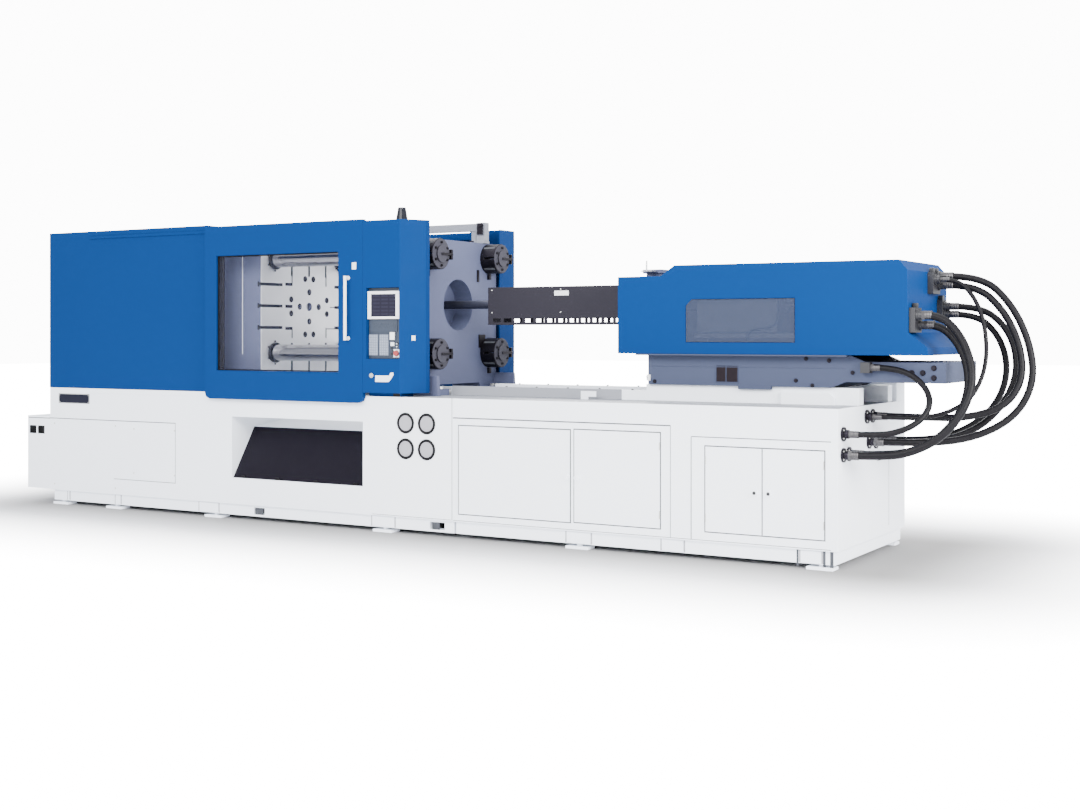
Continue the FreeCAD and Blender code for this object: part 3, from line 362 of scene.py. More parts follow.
def settle(bm, name, finish, body=None):
    """Writes a mesh as one shaded piece that rides on a body."""
    bmesh.ops.recalc_face_normals(bm, faces=bm.faces)
    mesh = written(bm, name)
    mesh.shade_smooth()
    mesh.set_sharp_from_angle(angle=CREASE)
    mesh.materials.append(finish.material)
    item = put(name, mesh)
    even = item.modifiers.new("even", "WEIGHTED_NORMAL")
    even.keep_sharp = True
    even.weight = 90
    item.data = made_mesh(item)
    item.modifiers.clear()
    bpy.data.meshes.remove(mesh)
    item.data.name = name
    if body:
        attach(item, body)
    return item


def soften(bm, width):
    """Rounds the mesh's hard edges."""
    edges = [e for e in bm.edges if len(e.link_faces) == 2
             and e.calc_face_angle(0) > HARD_EDGE]
    if edges and width:
        bmesh.ops.bevel(bm, geom=edges, offset=width, segments=2, profile=0.5,
                        affect="EDGES", clamp_overlap=True)


def sound(bm, volume):
    """Whether a mesh is closed, as large as it was, and fills cleanly with triangles."""
    if any(len(e.link_faces) != 2 for e in bm.edges):
        return False
    filled = sum(area_tri(*(loop.vert.co for loop in corner))
                 for corner in bm.calc_loop_triangles())
    return (abs(bm.calc_volume() / volume - 1) <= VOLUME_SLACK
            and abs(filled / sum(face.calc_area() for face in bm.faces) - 1) < AREA_SLACK)


def body_of(node):
    return frame["nodes"][node]["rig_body"]


def dressed(node, look, finish, width, name=None):
    """A welded, soft-edged copy of a CAD node that stands for it."""
    base = bmesh.new()
    base.from_mesh(frame["nodes"][node].data)
    bmesh.ops.remove_doubles(base, verts=base.verts, dist=WELD)
    volume = base.calc_volume()
    for flatten, offset in ((True, width), (True, width / 2), (False, width),
                            (False, width / 2), (False, 0)):
        bm = base.copy()
        if flatten:
            bmesh.ops.dissolve_limit(bm, angle_limit=FLAT, verts=bm.verts, edges=bm.edges)
        soften(bm, offset)
        if not offset or sound(bm, volume):
            break
        bm.free()
    base.free()
    item = settle(bm, name or f"{node}_{look}", finish, None)
    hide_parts(node)
    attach(item, body_of(node))
    return item


class Shape:
    """Closed solids gathered into one piece; each has its edges rounded as it is added."""

    def __init__(self, name, finish, body="machine", slot=None):
        self.made = bmesh.new()
        self.facts = (name, finish, body, slot)

    def take(self, bm, bevel=0.0, move=None):
        soften(bm, bevel)
        if move:
            bm.transform(move)
        mesh = written(bm, "solid")
        self.made.from_mesh(mesh)
        bpy.data.meshes.remove(mesh)
        return self

    def block(self, low, high, bevel=0.001, move=None):
        bm = bmesh.new()
        bmesh.ops.create_cube(bm, size=1)
        low, high = map(Vector, zip(*map(sorted, zip(low, high))))
        bm.transform(Matrix.Translation((low + high) / 2)
                     @ Matrix.Diagonal((*(high - low), 1)))
        return self.take(bm, bevel, move)

    def strips(self, strips, near, far, bevel=0.0, plane="XZ"):
        """Blocks from near to far over each (a0, a1, b0, b1) of a plane."""
        for a0, a1, b0, b1 in strips:
            self.block(SPOTS[plane](a0, b0, near), SPOTS[plane](a1, b1, far), bevel)
        return self

    def turned(self, start, aim, profile, sides=24):
        """Turns (distance along, radius) steps about a line. Steps that end where they began
        make a hollow ring."""
        turn = Matrix.Translation(start) @ Vector(aim).to_track_quat(
            "Z", "Y").to_matrix().to_4x4()
        bm = bmesh.new()
        hollow = profile[0] == profile[-1]
        rings = [[bm.verts.new(turn @ Vector((radius * math.cos(a), radius * math.sin(a),
                                              along)))
                  for a in circle(sides if radius > 0 else 1)]
                 for along, radius in (profile[:-1] if hollow else profile)]
        for one, two in zip(rings, rings[1:] + (rings[:1] if hollow else [])):
            for i in range(sides):
                ends = [ring[k % len(ring)] for ring, k in ((one, i), (one, i + 1),
                                                            (two, i + 1), (two, i))]
                bm.faces.new(list(dict.fromkeys(ends)))
        for ring in (rings[0], rings[-1]):
            if len(ring) > 1 and not hollow:
                bm.faces.new(ring)
        bmesh.ops.recalc_face_normals(bm, faces=bm.faces)
        return self.take(bm)

    def rod(self, start, end, radius, chamfer=0.001, sides=24):
        span = (Vector(end) - Vector(start)).length
        return self.turned(start, Vector(end) - Vector(start),
                           [(0, radius - chamfer), (chamfer, radius),
                            (span - chamfer, radius), (span, radius - chamfer)], sides)

    def hoop(self, centre, aim, radius, wire, flat=1.0, sides=40):
        """A ring of round section round a centre, flattened along its axis by flat."""
        section = [(wire * flat * math.sin(b), radius + wire * math.cos(b)) for b in circle(8)]
        return self.turned(centre, aim, section + section[:1], sides)

    def sheet(self, outline, plane, near, far, bevel=0.001):
        """A flat outline in a plane made thick from near to far."""
        bm = bmesh.new()
        one, two = [[bm.verts.new(SPOTS[plane](a, b, depth)) for a, b in outline]
                    for depth in (near, far)]
        bm.faces.new(one)
        bm.faces.new(list(reversed(two)))
        for i in range(len(outline)):
            bm.faces.new((one[i], one[i - 1], two[i - 1], two[i]))
        bmesh.ops.recalc_face_normals(bm, faces=bm.faces)
        return self.take(bm, bevel)

    def pipe(self, points, radius):
        """A bent round bar or wire along a smooth line through the points."""
        tube = swept_tube("bar", smooth_line(points), radius, 12)
        self.made.from_mesh(tube)
        bpy.data.meshes.remove(tube)
        return self

    def done(self):
        name, finish, body, slot = self.facts
        return settle(self.made, name, finish, body)

    def kept(self):
        """The shape as an object out of sight, only for trees to repeat."""
        return bpy.data.objects.new(self.facts[0], written(self.made, self.facts[0]))


def frame_line(x0, x1, z0, z1, width):
    """Four strips round a rectangle that don't overlap, as (x0, x1, z0, z1)."""
    return [(x0 - width, x1 + width, z1, z1 + width), (x0 - width, x1 + width, z0 - width, z0),
            (x0 - width, x0, z0, z1), (x1, x1 + width, z0, z1)]


def joint_finish(name, color, low, high):
    """The shaded inside of a joint between sheets; it also serves as painted shade."""
    return Finish(name, color, 0.85, "dark_paint", specular=0.2).mottle(
        9, 4, low, high).grain(160, 3, 0.3, 0.0006)


white = enamel("bed_white", (0.89, 0.925, 1.0), 0.45, "bed_white", dust=0.08)
# Dark joint lines; the same finish is painted shade in the platen's slots and holes and in the
# sole's gaps.
seam_shade = joint_finish("seam_shadow", (0.045, 0.048, 0.055), 0.6, 1.8)
dressed("sole_frame", "painted", white, 0.003)
dressed("levelling_feet", "cast", white, 0.002)
sole_low, sole_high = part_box("sole_frame")
rib_low, rib_high = sole_low[2] + 0.006, sole_high[2] - 0.006
ribs = Shape("sole_ribs", white)
# Pale grey strips on both sides of each rib are painted shadows, so the white ribs show.
edges = Shape("sole_rib_edges", joint_finish("rib_painted_shadow", (0.3, 0.3, 0.32), 0.8, 1.3))
rear_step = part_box("clamp_bed")[1][1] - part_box("injection_bed")[1][1]
for x0, x1 in ((-3.985, -3.965), (-3.32, -3.254), (-2.225, -1.99), (-0.223, 0.01), (1.69, 1.904),
               (2.52, 2.7), (3.625, 3.78)):
    for y, out in ((sole_low[1], -1), (sole_high[1] - (rear_step if x0 > 0.6 else 0), 1)):
        ribs.block((x0, y - out * 0.001, rib_low), (x1, y + out * 0.006, rib_high), 0.002)
        edges.strips([(x, x + 0.012, rib_low, rib_high) for x in (x0 - 0.013, x1 + 0.001)],
                     y - 0.001, y + 0.001)
ribs.done()
edges.done()
# Painted shade: dark strips on the sole's front stand for its gaps and fork pockets.
Shape("sole_end_gaps", seam_shade).strips(
    [(3.594, 3.609, 0.02, 0.145), (3.793, 3.812, 0.02, 0.145), (3.845, 3.87, 0.02, 0.145),
     (-1.545, -1.449, 0.058, 0.118), (0.4, 0.475, 0.058, 0.118)],
    sole_low[1] - 0.0012, sole_low[1] + 0.001).done()


# Clamp bed and end cabinet. Welded steel plate, baked white enamel. Covers are let into the
# sides with thin dark joints, and a bare dark plate and two vents sit near its left end.
SEAM_DEPTH = 0.0012
# Painted shade: the beds' flat tops get a grey in the white enamel's slot, for the shade they lie
# in.
deck_shade = enamel("bed_deck_shade", (0.245, 0.255, 0.285), 0.5, "bed_white", peel=0.45)


def on_top(face):
    """Whether a face belongs to a bed's flat top."""
    return face.normal.z > 0.9 and face.center.z > 1.15


def seams(name, strips, face):
    """Dark joint lines, as thin strips on a side face."""
    Shape(name, seam_shade).strips(strips, face, face + math.copysign(SEAM_DEPTH, face)).done()


def add(tree, kind, links, **settings):
    """Adds a node; links gives each input a value or the (node, output) that feeds it."""
    made = tree.nodes.new(kind)
    for key, value in settings.items():
        setattr(made, key, value)
    for key, value in links.items():
        if isinstance(value, tuple):
            tree.links.new(value[0].outputs[value[1]], made.inputs[key])
        else:
            made.inputs[key].default_value = value
    return made


def repeat_tree():
    """Sets a piece on every point, its Z axis along the point's aim."""
    tree = bpy.data.node_groups.new("repeat", "GeometryNodeTree")
    for label, kind in (("Geometry", "Geometry"), ("Piece", "Object"), ("Size", "Float"),
                        ("Finish", "Material")):
        tree.interface.new_socket(label, in_out="INPUT", socket_type=f"NodeSocket{kind}")
    tree.interface.new_socket("Geometry", in_out="OUTPUT", socket_type="NodeSocketGeometry")
    given = add(tree, "NodeGroupInput", {})
    piece = add(tree, "GeometryNodeObjectInfo", {"Object": (given, "Piece")})
    aim = add(tree, "GeometryNodeInputNamedAttribute", {"Name": "aim"},
              data_type="FLOAT_VECTOR")
    turn = add(tree, "FunctionNodeAlignRotationToVector", {"Vector": (aim, "Attribute")},
               axis="Z")
    points = add(tree, "GeometryNodeMeshToPoints", {"Mesh": (given, "Geometry")})
    spread = add(tree, "GeometryNodeInstanceOnPoints",
                 {"Points": (points, "Points"), "Instance": (piece, "Geometry"),
                  "Rotation": (turn, "Rotation"), "Scale": (given, "Size")})
    real = add(tree, "GeometryNodeRealizeInstances", {"Geometry": (spread, "Instances")})
    paint = add(tree, "GeometryNodeSetMaterial",
                {"Geometry": (real, "Geometry"), "Material": (given, "Finish")})
    add(tree, "NodeGroupOutput", {"Geometry": (paint, "Geometry")})
    return tree


REPEAT = repeat_tree()


def repeated(name, piece, size, finish, points, aim, body="machine", crease=CREASE):
    """Sets a piece on points by the tree, keeps the result as a plain mesh on a body."""
    seed = bpy.data.meshes.new(f"{name}_seed")
    seed.from_pydata(list(points), [], [])
    heading = seed.attributes.new("aim", "FLOAT_VECTOR", "POINT")
    for spot in heading.data:
        spot.vector = aim
    source = put(f"{name}_seed", seed)
    modifier = source.modifiers.new("repeat", "NODES")
    modifier.node_group = REPEAT
    values = {"Piece": piece, "Size": size, "Finish": finish.material}
    for socket in REPEAT.interface.items_tree:
        if socket.in_out == "INPUT" and socket.name in values:
            modifier[socket.identifier] = values[socket.name]
    source.update_tag()
    bpy.context.view_layer.update()
    mesh = made_mesh(source)
    bpy.data.objects.remove(source)
    mesh.name = name
    mesh.shade_smooth()
    mesh.set_sharp_from_angle(angle=crease)
    item = put(name, mesh)
    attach(item, body)


def fixings(name, head, size, points, aim, body="machine", finish=None):
    """A head is a pair: the shape to repeat and its usual finish."""
    repeated(name, head[0], size, finish or head[1], points, aim, body, HARD_EDGE)


def turned_head(name, finish, profile, sides=24):
    """A head about one across, standing on its point, to be repeated at any size."""
    return Shape(name, finish).turned((0, 0, 0), UP, profile, sides)


UP = (0, 0, 1)
FRONT, REAR, LEFT, RIGHT = (0, -1, 0), (0, 1, 0), (-1, 0, 0), (1, 0, 0)
zinc = machined("steel_zinc", (0.62, 0.62, 0.6), 0.42, "steel", (8, 8, 8), 0.15)
BUTTON = turned_head("button_head", zinc,
                     [(0, 0), (0, 0.5), (0.12, 0.46), (0.2, 0.36), (0.25, 0.22),
                      (0.12, 0.2), (0.12, 0)], 20).kept(), zinc


def side_screws(name, size, spots, face, body="machine"):
    """Button heads at (x, z) spots on the front face and on its mirror at the rear."""
    for tag, y, aim in (("", face, FRONT), ("_rear", -face, REAR)):
        fixings(name + tag, BUTTON, size, [(x, y, z) for x, z in spots], aim, body)


def field(name, shape, finish, columns, rows, corner, across, up):
    """A shape in columns and rows, one step across and one up between them."""
    x, y, z = corner
    repeated(name, shape, 1.0, finish,
             [(x + across * i, y, z + up * k) for k, i in product(range(rows), range(columns))],
             UP)


# Its flat top is painted shade.
repaint(dressed("clamp_bed", "painted", white, 0.004), deck_shade, on_top)
dressed("end_cabinet", "painted", white, 0.004)
cabinet_low, cabinet_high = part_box("end_cabinet")
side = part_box("clamp_bed")[0][1]
for tag, face in (("front", side), ("rear", -side)):
    seams(f"clamp_bed_seams_{tag}",
          [(cabinet_high[0], -2.506, 0.847, 0.854), (-2.51, -2.506, 0.29, 0.847),
           (-3.32, -2.506, 0.288, 0.293), (-0.205, 0.605, 0.15, 0.153),
           (0.613, 0.617, 0.15, 1.155)], face)
    seams(f"cabinet_seams_{tag}",
          [(cabinet_low[0] + 0.012, cabinet_high[0], 0.844, 0.851)], face)
plate_dark = machined("plate_dark", (0.02, 0.021, 0.036), 0.45, "dark_paint")
Shape("bare_plate", plate_dark).block((-4.089, side - 0.003, 1.003),
                                      (-3.657, side, 1.098)).done()
Shape("bare_plate_edge", zinc).strips(frame_line(-4.083, -3.663, 1.009, 1.092, 0.003),
                                      side - 0.0038, side - 0.0028).done()
fixings("bare_plate_rivets", BUTTON, 0.009,
        product((-4.074, -3.672), (side - 0.003,), (1.018, 1.083)), FRONT)
black = enamel("vent_black", (0.006, 0.006, 0.007), 0.5, "dark_paint", specular=0.2)
VENTS = ((-4.52, -4.42), (-4.4, -4.325))
Shape("cabinet_vent_backs", black).strips(
    [(x0 + 0.001, x1 - 0.001, 0.691, 0.769) for x0, x1 in VENTS], side + 0.012,
    side + 0.0148).strips([(-4.323, -4.296, 0.69, 0.77)], side - 0.0012, side + 0.001).done()
for k, (x0, x1) in enumerate(VENTS):
    slat = Shape(f"slat_{k}", black).sheet(
        [(0.001, 0), (0.01, 0.007), (0.01, 0.0082), (0.001, 0.0012)], "YZ", 0,
        x1 - x0 - 0.002, 0).kept()
    field(f"cabinet_vent_slats_{k}", slat, black, 1, 8, (x0 + 0.001, side, 0.6925), 0, 0.0095)
side_screws("clamp_bed_screws", 0.016,
            [*product((-3.05, -2.52), (0.36, 0.78)), *product((-4.15, -3.3), (0.2, 0.8))],
            side)


# Discharge chute and hand ports. A dark folded sheet slopes from the drop area to the front
# opening. Four round hatch covers, pale with black rubber rims, close the hand ports.
PORT_HALF = 0.088
chute = enamel("chute_dark", (0.0045, 0.0035, 0.0075), 0.55, "dark_paint",
               specular=0.08)
repaint(dressed("discharge_chute", "sheet", chute, 0.002, name="chute_sheet"), white,
        lambda face: face.center.y > -0.597)
port_low, port_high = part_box("round_ports")
disc = Finish("port_disc", (0.3, 0.295, 0.32), 0.6, "bed_white").mottle(
    30, 4, 0.92, 1.06).grain(700, 2, 0.3, 0.0004)
rubber = Finish("hose_rubber", (0.0028, 0.0025, 0.0035), 0.5, "hose_rubber",
                specular=0.12)
wrap_u, wrap_v, _ = rubber.split(rubber.node("ShaderNodeUVMap", {"uv_map": "wrap"}, {}))
ridge = ((wrap_u * 8.0 + wrap_v * 60.0) * (2 * math.pi)).math("SINE")
scuff = rubber.noise(18, 4)
rubber.set("Normal", rubber.bump(ridge * 0.5 + rubber.noise(300, 2), 0.25, 0.0008))
rubber.set("Roughness", 0.36 + scuff * 0.22)
rubber.set("Base Color", rubber.blend(scuff * scuff, rubber.color, (0.0075, 0.0072, 0.009, 1)))
discs = Shape("port_covers", disc, None)
rims = Shape("port_rims", rubber)
for x, z in product((port_low[0] + PORT_HALF, port_high[0] - PORT_HALF),
                    (port_low[2] + PORT_HALF, port_high[2] - PORT_HALF)):
    discs.turned((x, side + 0.002, z), FRONT,
                 [(0, 0), (0, 0.072), (0.005, 0.072), (0.006, 0.068), (0.0045, 0.064),
                  (0.006, 0.055), (0.0065, 0)], 48)
    rims.hoop((x, side - 0.002, z), FRONT, 0.0765, 0.0122, 0.75, 56)
covers = discs.done()
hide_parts("round_ports")
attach(covers, "machine")
rims.done()
Shape("chute_mouth_lip", white).strips(frame_line(-1.802, -0.306, 0.38, 0.935, 0.006),
                                       side - 0.002, side + 0.004, 0.0008).done()
stops = Shape("chute_stops", rubber)
for x in (-1.7, -1.3, -0.86, -0.42):
    stops.rod((x, side + 0.012, 0.392), (x + 0.05, side + 0.012, 0.392), 0.01, 0.002, 12)
stops.done()


# Injection bed. A welded box with a flanged top, white enamel. Two pairs of sheet doors give
# access to the pumps and the valves, each on pin hinges with a small turn latch.
# Its flat top is painted shade.
repaint(dressed("injection_bed", "painted", white, 0.004), deck_shade, on_top)
bed_end, bed_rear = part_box("injection_bed")[1][:2]
doors = [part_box(f"bed_door_{k}") for k in range(1, 5)]
for k in range(1, 5):
    dressed(f"bed_door_{k}", "sheet", white, 0.0015)
strips = [strip for low, high in (*doors[:2], (doors[2][0], doors[3][1]))
          for strip in frame_line(low[0] - 0.001, high[0] + 0.001, low[2] - 0.001,
                                  high[2] + 0.001, 0.008)]
strips += [(0.625, 2.604, 0.99, 0.999), (2.601, 2.605, 0.15, 0.993),
           (2.771, 2.777, 0.153, 0.919), (2.777, 3.86, 0.916, 0.922),
           (0.625, 3.86, 0.1495, 0.153)]
seams("injection_bed_seams", strips, side)
seams("injection_bed_seams_rear", frame_line(0.9, 2.1, 0.3, 0.95, 0.004)
      + frame_line(2.3, 3.6, 0.3, 0.95, 0.004), bed_rear)
Shape("injection_bed_end_seams", seam_shade).strips(
    [(0.276, 0.28, 0.2, 0.72), (-0.02, 0.28, 0.72, 0.724)], bed_end, bed_end + SEAM_DEPTH,
    plane="YZ").done()
(_, y, z0), (x, _, z1) = doors[2]
Shape("bed_door_3_meeting_edge", seam_shade, body_of("bed_door_3")).block(
    (x - 0.008, y + 0.013, z0 + 0.001), (x - 0.0005, y + 0.0147, z1 - 0.001), 0).done()
latch = enamel("latch_black", (0.008, 0.008, 0.009), 0.38, "dark_paint")
LATCHES = ((1.706, 0.56), (1.801, 0.56), (3.284, 0.526), (3.393, 0.526))
for k, ((low, high), (x, z)) in enumerate(zip(doors, LATCHES), start=1):
    body = body_of(f"bed_door_{k}")
    hinge = low[0] + 0.0025 if k % 2 else high[0] - 0.0025
    pins = Shape(f"bed_door_{k}_hinges", zinc, body)
    for level in (low[2] + 0.1, high[2] - 0.1):
        pins.rod((hinge, -0.903, level - 0.03), (hinge, -0.903, level + 0.03), 0.0045,
                 sides=16)
    pins.done()
    Shape(f"bed_door_{k}_latch", latch if k > 2 else white, body).turned(
        (x, low[1] + 0.001, z), FRONT,
        [(0, 0), (0, 0.0135), (0.002, 0.0135), (0.0035, 0.0115), (0.0035, 0)], 32).block(
        (x - 0.009, low[1] - 0.0045, z - 0.0025),
        (x + 0.009, low[1] - 0.002, z + 0.0025)).done()


# Platens and their bars. Cast and machined blocks, lavender enamel on the rough faces. Four
# chromed bars run through them, held by large blackened nuts with locking blocks.
AXIS = 1.945
BARS = [(y, AXIS + z) for y in (-0.49, 0.49) for z in (-0.432, 0.432)]
FIXED_BACK = 0.07
cast = enamel("platen_cast", (0.082, 0.093, 0.158), 0.58, "cast_paint", peel=0.45,
              specular=0.2)
cast.set("Normal", cast.bump(cast.noise(38, 6, roughness=0.65), 0.35, 0.0025,
                             cast.bump(cast.noise(300, 3), 0.3, 0.0005)))
ground = machined("platen_ground", (0.96, 0.96, 0.97), 0.45, "steel", (1, 40, 1), 0.12, 0.25)
chrome = machined("bar_chrome", (0.2, 0.2, 0.22), 0.16, "bar_chrome", (40, 1, 1), 0.03,
                  0.15)
iron = machined("nut_blackened", (0.022, 0.02, 0.026), 0.44, "dark_iron", (10, 10, 10), 0.3,
                0.6)
nut_face = enamel("nut_face_dark", (0.042, 0.041, 0.053), 0.55, "dark_iron",
                  specular=0.12)
SOCKET = turned_head("socket_head", iron,
                     [(0, 0), (0, 0.5), (0.44, 0.5), (0.5, 0.44), (0.5, 0.27), (0.22, 0.27),
                      (0.22, 0)]).kept(), iron
HEX = turned_head("hex_head", iron, [(0, 0), (0, 0.62), (0.08, 0.62), (0.08, 0)]).turned(
    (0, 0, 0), UP, [(0.07, 0.5), (0.39, 0.5), (0.45, 0.45)], 6).kept(), iron


def bolt_circle(spots, x, radius, count=6, shift=0.5):
    """Bolt places on circles round (y, z) spots, in the plane at x."""
    return [(x, y + radius * math.cos(a), z + radius * math.sin(a)) for y, z in spots
            for a in circle(count, shift)]


dressed("stationary_platen", "cast", cast, 0.003, name="fixed_platen_cast")
dressed("tail_platen", "cast", cast, 0.003)
moving = dressed("moving_platen", "cast", cast, 0.0025)
platen_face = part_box("moving_platen")[1][0]
repaint(moving, ground, lambda face: face.center.x > platen_face - 0.003)
# Painted shade: the recessed faces of the platen face's slots and holes are repainted dark.
repaint(moving, seam_shade, lambda face: platen_face - 0.12 < face.center.x < platen_face - 0.003
        and abs(face.center.y) < 0.675 and 1.19 < face.center.z < 2.555)
bars = dressed("tie_bars", "chromed", chrome, 0.003)
dressed("tie_bar_nuts", "blackened", iron, 0.004)
nut_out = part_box("tie_bar_nuts")[1][0]
bar_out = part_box("tie_bars")[1][0]
repaint(bars, nut_face, lambda face: face.center.x > nut_out - 0.05)
caps = Shape("nut_end_plates", nut_face)
keys = Shape("nut_lock_bars", iron)
slots = Shape("nut_slots", seam_shade)
for y, z in BARS:
    caps.turned((nut_out - 0.002, y, z), RIGHT,
                [(0, 0), (0, 0.128), (0.004, 0.128), (0.006, 0.125), (0.006, 0.03),
                 (0.004, 0.027), (0.004, 0)], 56)
    keys.block((nut_out + 0.003, y - 0.02, z - 0.011), (bar_out + 0.008, y + 0.15, z + 0.011),
               0.002)
    keys.block((0.12, y + 0.137, z - 0.045), (nut_out + 0.016, y + 0.165, z + 0.045), 0.004)
    keys.block((FIXED_BACK, y - 0.016, z - 0.19), (FIXED_BACK + 0.028, y + 0.016, z - 0.138),
               0.003)
    for a in circle(4, 0.5):
        slots.block((0.09, -0.011, 0.129), (0.205, 0.011, 0.1375), 0.001,
                    Matrix.Translation((0, y, z)) @ Matrix.Rotation(a, 4, "X"))
for shape in (caps, keys, slots):
    shape.done()
fixings("nut_screws", SOCKET, 0.024, bolt_circle(BARS, nut_out + 0.004, 0.1), RIGHT)
fixings("tail_nut_screws", SOCKET, 0.024, bolt_circle(BARS, -3.3, 0.1), LEFT)

# The back of the fixed platen carries dark lugs. Eye bolts stand on top, and bolts hold its
# feet to the bed.
Shape("platen_back_lugs", iron).block(
    (FIXED_BACK - 0.002, -0.6, 1.83), (FIXED_BACK + 0.016, -0.555, 1.93), 0.003).block(
    (FIXED_BACK - 0.002, 0.3, 2.16), (FIXED_BACK + 0.01, 0.33, 2.27), 0.002).block(
    (FIXED_BACK - 0.002, 0.33, 1.56), (FIXED_BACK + 0.01, 0.43, 1.68), 0.002).done()
fixings("platen_eye_bolts", HEX, 0.05, product((-0.12, -0.02), (-0.35, 0.35), (2.52,)), UP)
fixings("fixed_sole_bolts", HEX, 0.042,
        product((FIXED_BACK + 0.06, FIXED_BACK + 0.13), (-0.53, -0.47, 0.47, 0.53), (1.21,)),
        UP, finish=zinc)

# Moving platen face: tapped clamping holes in a cross pattern round the ejector holes, with
# short dark slots where the clamping grooves stop. Both are dark discs and strips on the face:
# painted shade of the hollows.
into_face = platen_face - 0.001
hole_shade = Shape("moving_face_holes", iron, "moving_clamp")
for across, up in ((0.06, 0.264), (0.262, 0.066), (0.4, 0.42)):
    for y, z in product((-across, across), (-up, up)):
        hole_shade.turned((into_face, y, AXIS + z), RIGHT,
                     [(0, 0), (0, 0.029), (0.0018, 0.029), (0.0018, 0.0265),
                      (0.0014, 0.0255), (0.0014, 0)])
for y, z in ((0, 0.14), (0, -0.14), (0.14, 0), (-0.14, 0)):
    hole_shade.turned((into_face, y, AXIS + z), RIGHT,
                 [(0, 0.0158), (0, 0.03), (0.0018, 0.03), (0.0018, 0.0158), (0, 0.0158)])
marks = [(-0.345, -0.245, z - 0.014, z + 0.014) for z in (-0.207, 0, 0.207)]
marks += [(y - 0.006, y + 0.006, z, z + 0.1) for y in (-0.25, 0.25) for z in (0.2, -0.3)]
marks += [(0.31, 0.46, -0.004, 0.004), (0.26, 0.46, -0.214, -0.206)]
hole_shade.strips([(y0, y1, AXIS + z0, AXIS + z1) for y0, y1, z0, z1 in marks], into_face,
             platen_face + 0.0016, 0.0005, "YZ").done()
wipers = Shape("moving_bar_wipers", rubber, "moving_clamp")
for y, z in BARS:
    wipers.turned((into_face, y, z), RIGHT,
                  [(0, 0.0765), (0, 0.094), (0.02, 0.094), (0.024, 0.09), (0.024, 0.0765),
                   (0, 0.0765)], 48)
wipers.done()
# Painted highlight: a thin white line down the platen's side, along a groove's edge.
Shape("moving_side_line", white, "moving_clamp").block(
    (-1.8785, -0.6825, 1.5), (-1.873, -0.6795, 2.55), 0.0006).done()
fixings("moving_bush_screws", SOCKET, 0.016, bolt_circle(BARS, platen_face, 0.105), RIGHT,
        "moving_clamp")

# Clamping cylinder. Cast end block and ram on the machine's axis, with the ejector rod and
# plate inside the moving platen. Bolted flange, oil pipes along the top.
steel = machined("steel_plain", (0.55, 0.56, 0.58), 0.34, "steel")
dressed("clamp_cylinder", "cast", cast, 0.003)
dressed("clamp_ram", "chromed", chrome, 0.002)
dressed("ejector_rod", "steel", steel, 0.0015)
fixings("cylinder_flange_bolts", HEX, 0.05, bolt_circle([(0, AXIS)], -4.19, 0.25, 12, 0), LEFT)
Shape("cylinder_oil_pipes", steel).pipe(
    [(-3.9, -0.3, 2.18), (-3.9, -0.34, 2.32), (-3.6, -0.36, 2.36), (-3.2, -0.36, 2.36),
     (-3.16, -0.36, 2.3)], 0.012).pipe(
    [(-3.7, -0.26, 2.2), (-3.7, -0.3, 2.38), (-3.5, -0.32, 2.41), (-3.2, -0.32, 2.41),
     (-3.16, -0.32, 2.36)], 0.012).done()

# Ways for the moving platen: hardened ground strips screwed to the bed.
dressed("platen_ways", "ground", steel, 0.001)
fixings("way_screws", SOCKET, 0.016, product((-2.6, -2.38, -2.16), (-0.63, 0.63), (1.181,)), UP)


# Covers of the clamp end. Folded sheet in baked blue enamel: a long hood over the clamp, a
# rear column, and painted rails that carry the tops of the sliding doors.
blue = enamel("cover_blue", (0.0, 0.025, 0.114), 0.55, "cover_blue", peel=0.28,
              specular=0.06)
grey = enamel("grey_paint", (0.2, 0.21, 0.25), 0.5, "grey_paint")
dressed("clamp_hood", "sheet", blue, 0.004)
dressed("rear_column", "sheet", blue, 0.004)
dressed("top_rails", "painted", grey, 0.003)
repaint(dressed("door_tracks", "painted", white, 0.001), blue,
        lambda face: face.center.z > 2)
(hood_end, _, _), (_, hood_rear, _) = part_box("clamp_hood")
fixings("hood_screws_rear", BUTTON, 0.014,
        product((-4.18, -3.55, -2.9, -2.3), (hood_rear,), (1.22, 2.62)), REAR)
fixings("hood_screws_end", BUTTON, 0.014,
        product((hood_end,), (-0.82, 0, 0.82), (1.25, 2.6)), LEFT)
Shape("hood_end_joints", seam_shade).strips(frame_line(-0.62, 0.62, 1.3, 2.45, 0.003),
                                      hood_end - 0.001, hood_end, plane="YZ").done()
pulls = Shape("hood_end_pulls", latch)
for y in (-0.5, 0.5):
    pulls.pipe([(hood_end + x, y, z) for x, z in ((0.002, 1.8), (-0.045, 1.8),
                                                  (-0.045, 1.95), (0.002, 1.95))], 0.008)
pulls.done()
Shape("top_rail_roller", iron).rod((0.045, 0.385, 2.688), (0.045, 0.515, 2.688), 0.022,
                                   0.003).block((0.01, 0.392, 2.6), (0.075, 0.398, 2.7),
                                                0.002).done()


